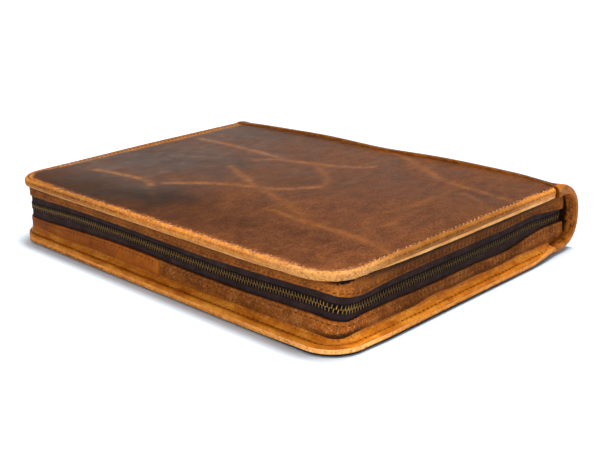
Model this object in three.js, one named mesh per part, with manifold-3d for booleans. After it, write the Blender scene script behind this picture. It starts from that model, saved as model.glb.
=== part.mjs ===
// A zipped leather organizer lying on its back cover.
// Two padded covers with rolled rims are joined by a soft spine, and a zip in a leather gusset closes the
// fore edge and both ends. The inside is hollow.
// Millimetres. X runs along the spine, the fore edge is at -Y, the spine at +Y and +Z is up.
// The origin is the middle of the bounding box, on the surface that the organizer lies on.

import * as THREE from "three";
import { mergeVertices } from "three/addons/utils/BufferGeometryUtils.js";
import Module from "manifold-3d";

const { lerp, smoothstep } = THREE.MathUtils;

// Overall sizes
const LENGTH = 344; // back cover, along the spine
const DEPTH = 280; // fore edge to the back of the spine
const PANEL_TOP = 53; // upper face of the front cover along its rim
const FRONT_SHORTFALL = 2; // the front cover stops this far short of the back one at +X
const RIM_RADIUS = 25.5; // corners at the fore edge, seen from above

// Layers and clearances
const COVER_THICKNESS = 5.2;
const GUSSET_THICKNESS = 2;
const TAPE_THICKNESS = 1;
const GAP = 0.3; // between pieces that meet
const SEWN_GAP = 0.1; // between layers that lie flat on each other
const END_GAP = 0.7; // between the gusset's ends and the curved wall of the spine

// The gusset stands in from the rim of the back cover
const FORE_RECESS = 8.4;
const LEFT_RECESS = 4;
const RIGHT_RECESS = 6.1;
const GUSSET_RADIUS = 11;
const GUSSET_BOW = 0.6; // the soft wall bows out this far
const BOW_SHARE = 0.6; // of the way from the edging to the zip
const EDGE_ROUNDING = 0.5; // along the zip
const GUSSET_JOINT_X = 2; // where the two lower strips meet

// Zip
const ZIP_CENTRE = 27.9;
const ZIP_TOP = 36.4; // lower edge of the upper gusset
const ZIP_BOTTOM = 20.8; // upper edge of the lower gusset
const TAPE_INSET = 2.2; // outer face of the tape, in from the gusset's face
const TAPE_LAP = 4; // tape hidden behind each gusset edge
const TEETH_HEIGHT = 5.6;
const TEETH_DEPTH = 3;
const SLIDER_LENGTH = 13;
const SLIDER_HEIGHT = 11;
const SLIDER_START = 103; // along Y, on the end at -X
const SLIDER_PLATE = 1.6; // thickness of its plates and of its pull
const WEB_HEIGHT = 4.6; // between the plates
const LUG = { length: 4, width: 2.4, height: 1.4, setback: 1 }; // holds the pull off the front plate
const PULL_LENGTH = 26;
const PULL_WIDTH = 7;
const PULL_SETBACK = 3; // from the slider's back end

// Spine
const SPINE_WALL = 6.5;
const FLAP_THICKNESS = 2.4; // the edge that laps under the back cover
const FLAP_GAP = 0.4; // between the flaps and the covers
const SPINE_CENTRE = 28; // height of the furthest point of the bulge
const SPINE_HOLLOW = { low: 7.5, middle: 27, high: 46 };
const FLAP_SLOPE = 1.5; // the bulge starts this far behind the flap's edge
const FLAP_NOSE = [
  { back: 0, share: 0.35 }, // rounding of that edge: distance behind it, share of the thickness lost
  { back: 0.5, share: 0.07 },
];
const RIM_ROUNDING = 1.6; // at the spine's two end rims
const RIM_ROLL = [
  { from: 0, share: 1 }, // in from the end and rounding there, in rim roundings
  { from: 0.5, share: 0.3 },
  { from: 1.5, share: 0 },
];
const RIM_SPAN = 6; // length of each end that the rows below leave to the rim
const UPPER_FULLNESS = 1.6; // superellipse exponents, 2 is an ellipse
const LOWER_FULLNESS = 2.3;
const HOLLOW_FULLNESS = 2.8;

// The spine along X: where its flap's edge runs, how far it laps over the covers, how far it swells above the
// front panel, how thick its upper flap is and how high its underside stands.
const SPINE_ROWS = [
  { x: -172, edge: 107.6, lap: 0.05, swell: 0, flap: 1.2, foot: 2.2 },
  { x: -150, edge: 109.5, lap: 5, swell: 0.6, flap: 2.0, foot: 0.5 },
  { x: -110, edge: 111.0, lap: 6, swell: 1.2, flap: 2.2, foot: 0 },
  { x: -60, edge: 112.3, lap: 6, swell: 1.7, flap: 2.2, foot: 0 },
  { x: 5, edge: 108.8, lap: 9, swell: 1.4, flap: 2.2, foot: 0 },
  { x: 62, edge: 113.3, lap: 6, swell: 1.7, flap: 2.2, foot: 0 },
  { x: 128, edge: 113.2, lap: 6, swell: 1.0, flap: 2.0, foot: 0 },
  { x: 151, edge: 112.0, lap: 5, swell: 0.3, flap: 1.4, foot: 0.5 },
  { x: 172, edge: 107.6, lap: 0.05, swell: 0, flap: 0.9, foot: 2.2 },
];

// The zip's waves: how far each edge rises, by the distance along the gusset from the middle of the fore edge.
const ZIP_WAVES = [
  { along: -190, upper: 0, teeth: 0, lower: 0 },
  { along: -147, upper: 0.1, teeth: -0.5, lower: -2.0 },
  { along: -97, upper: 1.0, teeth: 1.0, lower: -0.4 },
  { along: -37, upper: 0.6, teeth: 1.2, lower: 1.0 },
  { along: 45, upper: -0.8, teeth: 0, lower: 0 },
  { along: 88, upper: 0.1, teeth: 0, lower: 0 },
  { along: 135, upper: 1.6, teeth: 1.8, lower: 1.2 },
  { along: 190, upper: -2.0, teeth: -0.8, lower: 0.3 },
  { along: 245, upper: 0.2, teeth: 0, lower: 0 },
  { along: 358, upper: 0.2, teeth: 0, lower: -1.1 },
  { along: 382, upper: 1.2, teeth: 2.0, lower: 2.8 },
  { along: 402, upper: -1.5, teeth: -0.8, lower: 1.5 },
  { along: 425, upper: -3.0, teeth: -1.0, lower: 2.2 },
];

// Rim of a cover, from its outer face round the roll to its inner face: distance in from the outline, and depth
// from 0 at the outer face to 1 at the inner face.
const RIM_ROWS = [
  { inset: 9, depth: 0 },
  { inset: 4.4, depth: 0 },
  { inset: 3.4, depth: 0.07 }, // stitch row
  { inset: 2.2, depth: 0.03 },
  { inset: 1.0, depth: 0.13 },
  { inset: 0.25, depth: 0.33 },
  { inset: 0, depth: 0.52 },
  { inset: 0.3, depth: 0.76 },
  { inset: 1.2, depth: 0.95 },
  { inset: 2.6, depth: 1 },
];
const BACK_ROLL = 0.35; // the hidden back edge is rolled less than the rim
const PANEL_RINGS = [0.25, 0.5, 0.7, 0.86]; // shares of the outline that carry the panel's swell
const PANEL_MIDDLE_Y = 50;
const SWELL_FROM = 40; // the panel starts to rise towards the spine at this Y
const LIFT_FROM = 70; // the back cover starts to lift over the spine's flap at this Y
const SETTLED_AT = 106;

// Edging strip: reach from its nose (0) to the gusset (1), with its two faces' heights off the cover.
const EDGING_NOSE = 0.9; // in from the cover's outline
const EDGING_ROWS = [
  { reach: 0.0, under: 0.5, over: 1.2 },
  { reach: 0.08, under: SEWN_GAP, over: 1.75 },
  { reach: 0.28, under: SEWN_GAP, over: 1.85 },
  { reach: 0.4, under: SEWN_GAP, over: 1.55 }, // stitch row
  { reach: 0.58, under: 0.55, over: 2.3 },
  { reach: 0.8, under: 1.45, over: 3.3 },
  { reach: 1.0, under: 2.6, over: 4.4 },
];

// Foot of a gusset, turned out under the edging.
const FOOT_ROWS = [
  { reach: 0.58, over: 0.25 },
  { reach: 0.8, over: 1.15 },
  { reach: 1.0, over: 2.2 },
];

const FORE_Y = -DEPTH / 2;
const BACK_Y = DEPTH / 2;
const BACK_RIM = { left: -LENGTH / 2, right: LENGTH / 2, fore: FORE_Y, radius: RIM_RADIUS };
const FRONT_RIM = { ...BACK_RIM, right: LENGTH / 2 - FRONT_SHORTFALL };
const GUSSET_FACE = {
  left: BACK_RIM.left + LEFT_RECESS,
  right: BACK_RIM.right - RIGHT_RECESS,
  fore: FORE_Y + FORE_RECESS,
  radius: GUSSET_RADIUS,
};

// Value of one column of a table at a place, on a smooth curve through the rows.
function column(rows, key, place, name) {
  const last = rows.length - 1;
  if (place <= rows[0][key]) return rows[0][name];
  if (place >= rows[last][key]) return rows[last][name];
  const i = rows.findIndex((row) => row[key] > place) - 1;
  const slope = (k) => {
    const a = rows[Math.max(k - 1, 0)];
    const b = rows[Math.min(k + 1, last)];
    return (b[name] - a[name]) / (b[key] - a[key]);
  };
  const span = rows[i + 1][key] - rows[i][key];
  const t = (place - rows[i][key]) / span;
  const s = 1 - t;
  return (
    rows[i][name] * (1 + 2 * t) * s * s +
    slope(i) * span * t * s * s +
    rows[i + 1][name] * (1 + 2 * s) * t * t -
    slope(i + 1) * span * s * t * t
  );
}

const spineAt = (x, name) => column(SPINE_ROWS, "x", x, name);
const waveAt = (along, name) => column(ZIP_WAVES, "along", along, name);

const collarY = (x) => spineAt(x, "edge") + spineAt(x, "lap");

// How far back the spine's hollow reaches at a height, beside the gusset's left (-1) or right (1) end.
function hollowY(z, sign) {
  const collar = collarY(sign < 0 ? GUSSET_FACE.left : GUSSET_FACE.right);
  const { low, middle, high } = SPINE_HOLLOW;
  const rise = z > middle ? (z - middle) / (high - middle) : (middle - z) / (middle - low);
  const share = Math.max(1 - rise ** HOLLOW_FULLNESS, 0) ** (1 / HOLLOW_FULLNESS);
  return lerp(collar, BACK_Y - SPINE_WALL, share);
}

const rimEndY = collarY(BACK_RIM.right) - GAP;

function inset(outline, distance) {
  const { left, right, fore, radius } = outline;
  return {
    left: left + distance,
    right: right - distance,
    fore: fore + distance,
    radius: Math.max(radius - distance, 1),
  };
}

// Stations of the border that runs from the left end along the fore edge to the right end.
// At the side t runs from the corner (0) to the spine (1), in the corner from the side (0) to the fore edge (1)
// and on the fore edge from left (0) to right (1).
function borderStations({ side, corner, fore, foreFrom = 0, foreTo = 1 }) {
  const steps = (count, from, to) =>
    Array.from({ length: count }, (_, k) => lerp(from, to, (k + 1) / count));
  const stations = [];
  if (foreFrom === 0) {
    stations.push({ part: "side", sign: -1, t: 1 });
    for (const t of steps(side, 1, 0)) stations.push({ part: "side", sign: -1, t });
    for (const t of steps(corner, 0, 1)) stations.push({ part: "corner", sign: -1, t });
  } else {
    stations.push({ part: "fore", sign: 0, t: foreFrom });
  }
  for (const t of steps(fore, foreFrom, foreTo)) stations.push({ part: "fore", sign: 0, t });
  if (foreTo === 1) {
    for (const t of steps(corner, 1, 0)) stations.push({ part: "corner", sign: 1, t });
    for (const t of steps(side, 0, 1)) stations.push({ part: "side", sign: 1, t });
  }
  return stations;
}

// Plan position of an outline at a station.
function borderPoint(outline, station, endY) {
  const { left, right, fore, radius } = outline;
  const { part, sign, t } = station;
  if (part === "fore") return new THREE.Vector2(lerp(left + radius, right - radius, t), fore);
  const side = sign < 0 ? left : right;
  if (part === "side") return new THREE.Vector2(side, lerp(fore + radius, endY, t));
  const turn = (t * Math.PI) / 2;
  return new THREE.Vector2(
    side - sign * radius * (1 - Math.cos(turn)),
    fore + radius * (1 - Math.sin(turn)),
  );
}

// Distance along the gusset's face from the middle of the fore edge.
function alongAt({ part, sign, t }) {
  const { left, right, fore, radius } = GUSSET_FACE;
  const half = (right - left) / 2 - radius;
  const arc = (radius * Math.PI) / 2;
  if (part === "fore") return lerp(-half, half, t);
  if (part === "corner") return sign * (half + arc * (1 - t));
  return sign * (half + arc + t * (BACK_Y - SPINE_WALL - fore - radius));
}

// A closed body through rings of equal size. Each end is filled on the plane of the two axes given, or by a fan
// from its middle where none are given. A fold, two numbers of points, is kept as an edge of the filled ends.
function loft(rings, { startAxes, endAxes, fold } = {}) {
  const size = rings[0].length;
  const points = rings.flat();
  const index = [];
  for (let r = 0; r + 1 < rings.length; r++) {
    for (let i = 0; i < size; i++) {
      const a = r * size + i;
      const b = r * size + ((i + 1) % size);
      index.push(a, b, b + size, a, b + size, a + size);
    }
  }
  const fan = (ring, first, reversed) => {
    const middle = new THREE.Vector3();
    for (const p of ring) middle.addScaledVector(p, 1 / size);
    const centre = points.push(middle) - 1;
    for (let i = 0; i < size; i++) {
      const face = [first + i, first + ((i + 1) % size), centre];
      index.push(...(reversed ? face.reverse() : face));
    }
  };
  const all = Array.from({ length: size }, (_, i) => i);
  const loops = fold
    ? [all.filter((i) => i <= fold[0] || i >= fold[1]), all.filter((i) => i >= fold[0] && i <= fold[1])]
    : [all];
  const fill = (ring, axes, first, reversed) => {
    if (!axes) return fan(ring, first, reversed);
    for (const loop of loops) {
      const contour = loop.map((i) => new THREE.Vector2(ring[i][axes[0]], ring[i][axes[1]]));
      const turn = Math.sign(THREE.ShapeUtils.area(contour)) * (reversed ? -1 : 1);
      for (const [i, j, k] of THREE.ShapeUtils.triangulateShape(contour, [])) {
        const area = THREE.ShapeUtils.area([contour[i], contour[j], contour[k]]);
        const face = Math.sign(area) === turn ? [i, j, k] : [i, k, j];
        index.push(...face.map((v) => loop[v] + first));
      }
    }
  };
  fill(rings[0], startAxes, 0, true);
  fill(rings.at(-1), endAxes, (rings.length - 1) * size, false);
  return facingOut(points, index);
}

// An indexed geometry, turned over if its faces point inwards.
function facingOut(points, index) {
  const corner = (i) => points[index[i]];
  let volume = 0;
  for (let i = 0; i < index.length; i += 3) {
    volume += corner(i).dot(new THREE.Vector3().crossVectors(corner(i + 1), corner(i + 2)));
  }
  const geometry = new THREE.BufferGeometry().setFromPoints(points);
  geometry.setIndex(volume < 0 ? index.reverse() : index);
  geometry.computeVertexNormals();
  return geometry;
}

// A strip swept along the border. section(station) gives the ring as { plan, z, endY }: plan(station, endY) is a
// place in X and Y, and endY is where the sides end, just short of the spine's wall where it isn't given.
function sweep(stations, section, fold) {
  const rings = stations.map((station) =>
    section(station).map(({ plan, z, endY }) => {
      const p = plan(station, endY ?? hollowY(z, station.sign) - END_GAP);
      return new THREE.Vector3(p.x, p.y, z);
    }),
  );
  const axes = ({ part }) => (part === "fore" ? ["y", "z"] : ["x", "z"]);
  return loft(rings, { startAxes: axes(stations[0]), endAxes: axes(stations.at(-1)), fold });
}

const onGusset = (distance) => (station, endY) => borderPoint(inset(GUSSET_FACE, distance), station, endY);

// From the nose of a cover's edging (reach 0) to just short of the gusset's face (reach 1).
const underRim = (rim, reach) => (station, endY) => {
  const nose = borderPoint(inset(rim, EDGING_NOSE), station, endY);
  const face = borderPoint(inset(GUSSET_FACE, -GAP), station, endY);
  return nose.lerp(face, reach);
};

// Covers

const panelSwell = (x, y) => spineAt(x, "swell") * smoothstep(y, SWELL_FROM, SETTLED_AT);
const panelLift = (y) => (FLAP_THICKNESS + FLAP_GAP / 2) * smoothstep(y, LIFT_FROM, SETTLED_AT);
const FRONT = {
  rim: FRONT_RIM,
  inner: PANEL_TOP - COVER_THICKNESS,
  inward: -1,
  outer: (x, y) => PANEL_TOP + panelSwell(x, y),
};
const BACK = { rim: BACK_RIM, inner: COVER_THICKNESS, inward: 1, outer: (x, y) => panelLift(y) };

function coverGeometry({ rim, inner, outer }) {
  const stations = borderStations({ side: 6, corner: 6, fore: 6 });
  const backSteps = 16;
  const outlineAt = (distance) => {
    const line = inset(rim, distance);
    const backInset = BACK_ROLL * distance;
    const points = stations.map((station) => borderPoint(line, station, rimEndY - backInset));
    for (let k = 1; k < backSteps; k++) {
      const x = lerp(line.right, line.left, k / backSteps);
      points.push(new THREE.Vector2(x, collarY(x) - END_GAP - backInset));
    }
    return points;
  };
  const middle = new THREE.Vector2((rim.left + rim.right) / 2, PANEL_MIDDLE_Y);
  const panel = outlineAt(RIM_ROWS[0].inset);
  const rings = PANEL_RINGS.map((share) =>
    panel.map((p) => {
      const q = middle.clone().lerp(p, share);
      return new THREE.Vector3(q.x, q.y, outer(q.x, q.y));
    }),
  );
  for (const row of RIM_ROWS) {
    rings.push(
      outlineAt(row.inset).map((p) => new THREE.Vector3(p.x, p.y, lerp(outer(p.x, p.y), inner, row.depth))),
    );
  }
  return loft(rings);
}

function edgingGeometry({ rim, inner, inward }) {
  const row = (reach, height) => ({
    plan: underRim(rim, reach),
    z: inner + inward * height,
    endY: rimEndY,
  });
  const section = [
    ...EDGING_ROWS.map(({ reach, over }) => row(reach, over)),
    ...EDGING_ROWS.toReversed().map(({ reach, under }) => row(reach, under)),
  ];
  return sweep(borderStations({ side: 5, corner: 6, fore: 6 }), () => section);
}

// Gusset and zip

function gussetGeometry({ rim, inner, inward }, edge, stations) {
  const inmost = EDGING_ROWS.at(-1);
  const section = (station) => {
    const edgeZ = edge(alongAt(station));
    const off = (height) => inner + inward * height;
    const wall = (distance, z) => ({ plan: onGusset(distance), z });
    const foot = FOOT_ROWS.map(({ reach, over }) => ({
      plan: underRim(rim, reach),
      z: off(over),
      endY: rimEndY,
    }));
    return [
      { ...foot[0], z: off(SEWN_GAP) },
      ...foot,
      { ...wall(0, off(inmost.under)), endY: rimEndY },
      wall(0, off(inmost.over + GAP)),
      wall(-GUSSET_BOW, lerp(off(inmost.over), edgeZ, BOW_SHARE)),
      wall(0, edgeZ - inward * EDGE_ROUNDING),
      wall(EDGE_ROUNDING, edgeZ),
      wall(GUSSET_THICKNESS - EDGE_ROUNDING, edgeZ),
      wall(GUSSET_THICKNESS, edgeZ - inward * EDGE_ROUNDING),
      wall(GUSSET_THICKNESS, off(inmost.over)),
      { ...wall(GUSSET_THICKNESS, off(inmost.under)), endY: rimEndY },
      { ...wall(GUSSET_THICKNESS, off(SEWN_GAP)), endY: rimEndY },
    ];
  };
  const foldOutside = FOOT_ROWS.length + 1;
  const foldInside = section(stations[0]).length - 2;
  return sweep(stations, section, [foldOutside, foldInside]);
}

const upperEdge = (along) => ZIP_TOP + waveAt(along, "upper");
const lowerEdge = (along) => ZIP_BOTTOM + waveAt(along, "lower");
const teethLine = (along) => ZIP_CENTRE + waveAt(along, "teeth");

function tapeGeometry(edge, towards) {
  const section = (station) => {
    const along = alongAt(station);
    const inside = teethLine(along) + towards * (TEETH_HEIGHT / 2 + GAP / 2);
    const outside = edge(along) + towards * TAPE_LAP;
    const outer = onGusset(TAPE_INSET);
    const inner = onGusset(TAPE_INSET + TAPE_THICKNESS);
    return [
      { plan: outer, z: inside },
      { plan: outer, z: outside },
      { plan: inner, z: outside },
      { plan: inner, z: inside },
    ];
  };
  return sweep(borderStations({ side: 12, corner: 6, fore: 16 }), section);
}

// Centre line of the zip's thickness, in from the gusset's face.
const ZIP_INSET = TAPE_INSET + TAPE_THICKNESS / 2;

function teethGeometry() {
  const sides = 8;
  const section = (station) => {
    const centre = teethLine(alongAt(station));
    return Array.from({ length: sides }, (_, k) => {
      const turn = ((k + 0.5) / sides) * 2 * Math.PI;
      const fit = 1 / Math.cos(Math.PI / sides);
      const z = centre + (Math.sin(turn) * fit * TEETH_HEIGHT) / 2;
      const end = station.sign < 0 ? SLIDER_START - GAP : hollowY(z, 1) - END_GAP;
      return { plan: onGusset(ZIP_INSET + (Math.cos(turn) * fit * TEETH_DEPTH) / 2), z, endY: end };
    });
  };
  return sweep(borderStations({ side: 12, corner: 6, fore: 16 }), section);
}

const wasm = await Module();
wasm.setup();

function toSolid(geometry) {
  const bare = geometry.clone();
  bare.deleteAttribute("normal");
  bare.deleteAttribute("uv");
  const merged = mergeVertices(bare);
  const mesh = new wasm.Mesh({
    numProp: 3,
    vertProperties: merged.attributes.position.array,
    triVerts: new Uint32Array(merged.index.array),
  });
  return new wasm.Manifold(mesh);
}

function toGeometry(solid) {
  const { vertProperties, triVerts } = solid.getMesh();
  const geometry = new THREE.BufferGeometry();
  geometry.setAttribute("position", new THREE.BufferAttribute(vertProperties, 3));
  geometry.setIndex(new THREE.BufferAttribute(triVerts, 1));
  geometry.computeVertexNormals();
  return geometry;
}

// Two plates either side of the tapes, the web between them, and a pull held off the front plate.
function sliderGeometry() {
  const height = teethLine(alongAt({ part: "side", sign: -1, t: 1 }));
  const block = ([insetFrom, insetTo], [yFrom, yTo], tall) => {
    const box = new THREE.BoxGeometry(insetTo - insetFrom, yTo - yFrom, tall);
    box.translate(GUSSET_FACE.left + (insetFrom + insetTo) / 2, (yFrom + yTo) / 2, height);
    return toSolid(box);
  };
  const front = TAPE_INSET - GAP;
  const behind = TAPE_INSET + TAPE_THICKNESS + GAP;
  const outside = front - SLIDER_PLATE;
  const end = SLIDER_START + SLIDER_LENGTH;
  const body = [SLIDER_START, end];
  const pullEnd = end - PULL_SETBACK;
  const pull = [pullEnd - PULL_LENGTH, pullEnd];
  const lugEnd = pullEnd - LUG.setback;
  return toGeometry(
    block([outside, front], body, SLIDER_HEIGHT)
      .add(block([behind, behind + SLIDER_PLATE], body, SLIDER_HEIGHT))
      .add(block([front - SLIDER_PLATE / 2, behind + SLIDER_PLATE / 2], body, WEB_HEIGHT))
      .add(block([outside - LUG.height, front - SLIDER_PLATE / 2], [lugEnd - LUG.length, lugEnd], LUG.width))
      .add(block([outside - LUG.height - SLIDER_PLATE, outside - LUG.height / 2], pull, PULL_WIDTH)),
  );
}

// Spine

// Point of a superellipse's quarter, from straight along the first radius (turn 0) to the second (turn 1).
function superellipse(turn, fullness) {
  const angle = (turn * Math.PI) / 2;
  return [Math.cos(angle), Math.sin(angle)].map((v) => Math.max(v, 0) ** (2 / fullness));
}

// Ring of the spine at x, drawn in from its outer and inner faces by a rounding at the end rims.
function spineRing(x, rounding) {
  const edge = spineAt(x, "edge");
  const collar = collarY(x);
  const lower = Math.max(spineAt(x, "foot"), 0);
  const under = PANEL_TOP + spineAt(x, "swell") + FLAP_GAP;
  const upper = under + Math.max(spineAt(x, "flap") - rounding, SEWN_GAP);
  const bottom = lower + rounding;
  const over = Math.max(FLAP_THICKNESS - FLAP_GAP / 2, bottom + SEWN_GAP);
  const start = edge + FLAP_SLOPE;
  const backmost = BACK_Y - rounding;
  const points = [];
  const add = (y, z) => points.push(new THREE.Vector3(x, y, z));
  const outerSteps = 9;
  const innerSteps = 8;
  add(edge, under);
  for (const { back, share } of FLAP_NOSE) add(edge + back, lerp(upper, under, share));
  for (let k = 0; k <= outerSteps; k++) {
    const [up, out] = superellipse(k / outerSteps, UPPER_FULLNESS);
    add(lerp(start, backmost, out), lerp(SPINE_CENTRE, upper, up));
  }
  for (let k = 1; k <= outerSteps; k++) {
    const [out, down] = superellipse(k / outerSteps, LOWER_FULLNESS);
    add(lerp(start, backmost, out), lerp(SPINE_CENTRE, bottom, down));
  }
  for (const { back, share } of FLAP_NOSE.toReversed()) add(edge + back, lerp(bottom, over, share));
  add(edge, over);
  add(collar, over);
  const { low, middle, high } = SPINE_HOLLOW;
  for (let k = 0; k <= innerSteps; k++) {
    const [down, out] = superellipse(k / innerSteps, HOLLOW_FULLNESS);
    add(lerp(collar, BACK_Y - SPINE_WALL + rounding, out), lerp(middle, low - rounding, down));
  }
  for (let k = 1; k <= innerSteps; k++) {
    const [out, up] = superellipse(k / innerSteps, HOLLOW_FULLNESS);
    add(lerp(collar, BACK_Y - SPINE_WALL + rounding, out), lerp(middle, high + rounding, up));
  }
  add(collar, under);
  return points;
}

function spineGeometry() {
  const half = LENGTH / 2;
  const rims = RIM_ROLL.map(({ from, share }) => ({
    x: half - from * RIM_ROUNDING,
    rounding: share * RIM_ROUNDING,
  }));
  const steps = 20;
  const inside = half - RIM_SPAN;
  const middle = Array.from({ length: steps + 1 }, (_, k) => ({
    x: lerp(-inside, inside, k / steps),
    rounding: 0,
  }));
  const stations = [...rims.map((rim) => ({ ...rim, x: -rim.x })), ...middle, ...rims.toReversed()];
  const rings = stations.map(({ x, rounding }) => spineRing(x, rounding));
  return loft(rings, { startAxes: ["y", "z"], endAxes: ["y", "z"] });
}

// Assembly

const leather = (color, roughness = 0.6) => new THREE.MeshStandardMaterial({ color, roughness, metalness: 0 });
const brass = (color) => new THREE.MeshStandardMaterial({ color, roughness: 0.4, metalness: 0.9 });
const cloth = (color) => new THREE.MeshStandardMaterial({ color, roughness: 0.95, metalness: 0 });

const organizer = new THREE.Group();
function piece(name, geometry, material) {
  const mesh = new THREE.Mesh(geometry, material);
  mesh.name = name;
  organizer.add(mesh);
}

const wholeBorder = borderStations({ side: 10, corner: 6, fore: 16 });
const jointShare = THREE.MathUtils.inverseLerp(
  GUSSET_FACE.left + GUSSET_RADIUS,
  GUSSET_FACE.right - GUSSET_RADIUS,
  GUSSET_JOINT_X,
);
const halfGap = GAP / 2 / (GUSSET_FACE.right - GUSSET_FACE.left - 2 * GUSSET_RADIUS);
const leftBorder = borderStations({ side: 10, corner: 6, fore: 8, foreTo: jointShare - halfGap });
const rightBorder = borderStations({ side: 10, corner: 6, fore: 8, foreFrom: jointShare + halfGap });

piece("front_cover", coverGeometry(FRONT), leather(0x7a4a33));
piece("back_cover", coverGeometry(BACK), leather(0xb8742f));
piece("front_edging", edgingGeometry(FRONT), leather(0xd79a5f));
piece("back_edging", edgingGeometry(BACK), leather(0xc47c34));
piece("spine", spineGeometry(), leather(0x8f5a30));
piece("upper_gusset", gussetGeometry(FRONT, upperEdge, wholeBorder), leather(0x7b4622, 0.7));
piece("lower_gusset_left", gussetGeometry(BACK, lowerEdge, leftBorder), leather(0x8a4716, 0.6));
piece("lower_gusset_right", gussetGeometry(BACK, lowerEdge, rightBorder), leather(0x704023, 0.75));
piece("zip_tape_upper", tapeGeometry(upperEdge, 1), cloth(0x382a28));
piece("zip_tape_lower", tapeGeometry(lowerEdge, -1), cloth(0x382a28));
piece("zip_teeth", teethGeometry(), brass(0x564735));
piece("zip_slider", sliderGeometry(), brass(0x6b5a3c));

export default organizer;
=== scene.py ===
# %% [markdown]
# # A zipped leather organizer
# The organizer lies on its back cover with its zip closed. Two padded covers have rolled rims, a soft
# spine laps over both, and a zip in a leather gusset runs round the other three edges. The CAD frame
# gives every piece its place. This lesson builds the leather, thread, tape and brass over it, piece by
# piece, from surfaces worked out with numpy, so that each shape is a formula that can be read and changed.

# %% Load the frame
from collections import namedtuple

import bpy
import numpy as np
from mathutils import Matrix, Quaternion, Vector


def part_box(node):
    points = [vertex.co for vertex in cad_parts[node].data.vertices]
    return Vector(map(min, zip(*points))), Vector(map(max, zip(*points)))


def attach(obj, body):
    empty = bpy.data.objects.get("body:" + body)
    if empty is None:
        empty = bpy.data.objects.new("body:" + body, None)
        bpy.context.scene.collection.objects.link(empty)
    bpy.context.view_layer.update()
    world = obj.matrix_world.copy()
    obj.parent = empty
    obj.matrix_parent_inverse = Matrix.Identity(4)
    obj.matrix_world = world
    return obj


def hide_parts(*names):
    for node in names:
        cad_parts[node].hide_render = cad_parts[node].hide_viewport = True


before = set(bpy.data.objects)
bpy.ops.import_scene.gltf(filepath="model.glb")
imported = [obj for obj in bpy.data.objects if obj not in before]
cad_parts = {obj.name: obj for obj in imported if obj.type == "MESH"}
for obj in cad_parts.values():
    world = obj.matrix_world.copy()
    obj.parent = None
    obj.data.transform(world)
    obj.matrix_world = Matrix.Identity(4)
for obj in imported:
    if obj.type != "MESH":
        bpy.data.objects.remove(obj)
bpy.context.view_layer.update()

MM = 0.001  # sizes below are in millimetres, Blender's are in metres
print("CAD nodes:", ", ".join(sorted(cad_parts)))

# %% [markdown]
# ## Sizes that everything shares
# The rims of the two covers and the face of the gusset are the same kind of outline: a straight left
# side, a round corner, the fore edge, a round corner and a right side. All sizes could be typed in, but
# reading the places from the frame's boxes keeps the scene and the CAD together, so only radii, recesses
# and layer thicknesses are written here.

# %% Outlines and layers
Outline = namedtuple("Outline", "left right fore radius")


def box_mm(node):
    """Lowest and highest corner of a CAD node, in millimetres."""
    low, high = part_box(node)
    return np.array(low) / MM, np.array(high) / MM


RIM_RADIUS = 25.5
GUSSET_RADIUS = 11.0
FORE_RECESS = 8.4
LEFT_RECESS = 2.8
RIGHT_RECESS = 6.1

back_low, back_high = box_mm("back_cover")
front_low, front_high = box_mm("front_cover")
BACK_RIM = Outline(back_low[0], back_high[0], back_low[1], RIM_RADIUS)
FRONT_RIM = Outline(front_low[0], front_high[0], front_low[1], RIM_RADIUS)
GUSSET_FACE = Outline(
    left=BACK_RIM.left + LEFT_RECESS,
    right=BACK_RIM.right - RIGHT_RECESS,
    fore=BACK_RIM.fore + FORE_RECESS,
    radius=GUSSET_RADIUS,
)
BACK_Y = box_mm("spine")[1][1]

COVER_THICKNESS = 5.2
PANEL_TOP = 53.0
FRONT_INNER = PANEL_TOP - COVER_THICKNESS
GUSSET_THICKNESS = 2.0
TAPE_INSET = 2.2
TAPE_THICKNESS = 1.0
ZIP_INSET = TAPE_INSET + TAPE_THICKNESS / 2
GAP = 0.3
END_GAP = 0.7  # between the spine and what ends in front of it
SPINE_WALL = 6.5
print("covers", np.round(back_high - back_low, 1), "and", np.round(front_high - front_low, 1), "mm")

# %% [markdown]
# ## Curves through a few rows
# Soft things wander. The zip rises and dips as it goes round, and the edge of the spine's flap is not
# straight. A few rows hold what was read off the object, and a smooth curve runs through them. Blender's
# own curves could do this too, but a function of the place gives whole arrays at once.

# %% Tables and the curve through them
SpineRows = namedtuple("SpineRows", "x edge lap swell flap foot")
SPINE = SpineRows(
    x=[-172, -150, -110, -60, 5, 62, 128, 151, 172],
    edge=[107.6, 109.5, 111.0, 112.3, 108.8, 113.3, 113.2, 112.0, 107.6],
    lap=[0.05, 5, 6, 6, 9, 6, 6, 5, 0.05],
    swell=[0, 0.6, 1.2, 1.7, 1.4, 1.7, 1.0, 0.3, 0],
    flap=[1.2, 2.0, 2.2, 2.2, 2.2, 2.2, 2.0, 1.4, 0.9],
    foot=[2.2, 0.5, 0, 0, 0, 0, 0, 0.5, 2.2],
)
ZipRows = namedtuple("ZipRows", "along upper teeth lower")
ZIP = ZipRows(
    along=[-190, -147, -97, -37, 45, 88, 135, 158, 176, 187, 214, 260, 310, 350, 382, 404, 425],
    upper=[
        -0.2, -0.4, 0.4, 0.2, -1.4, -0.5, 1.2, 1.9, -1.9, -3.2, -1.6, -1.1, -1.1, -0.9, 0.3, -1.7, -4.0
    ],
    teeth=[0, -0.5, 1.0, 1.0, -0.4, -0.4, 1.4, 1.4, -1.5, -2.4, -1.4, -1.4, -1.3, -1.2, 0.4, -0.9, -1.4],
    lower=[
        -0.6, -2.6, -0.9, 0.6, -0.8, -0.7, 0.8, 0.8, -1.7, -1.1, -0.9, -2.0, -1.7, -2.8, 0.6, 2.2, 1.4
    ],
)
ZIP_TOP = 36.4
ZIP_CENTRE = 27.9
ZIP_BOTTOM = 20.8
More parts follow.
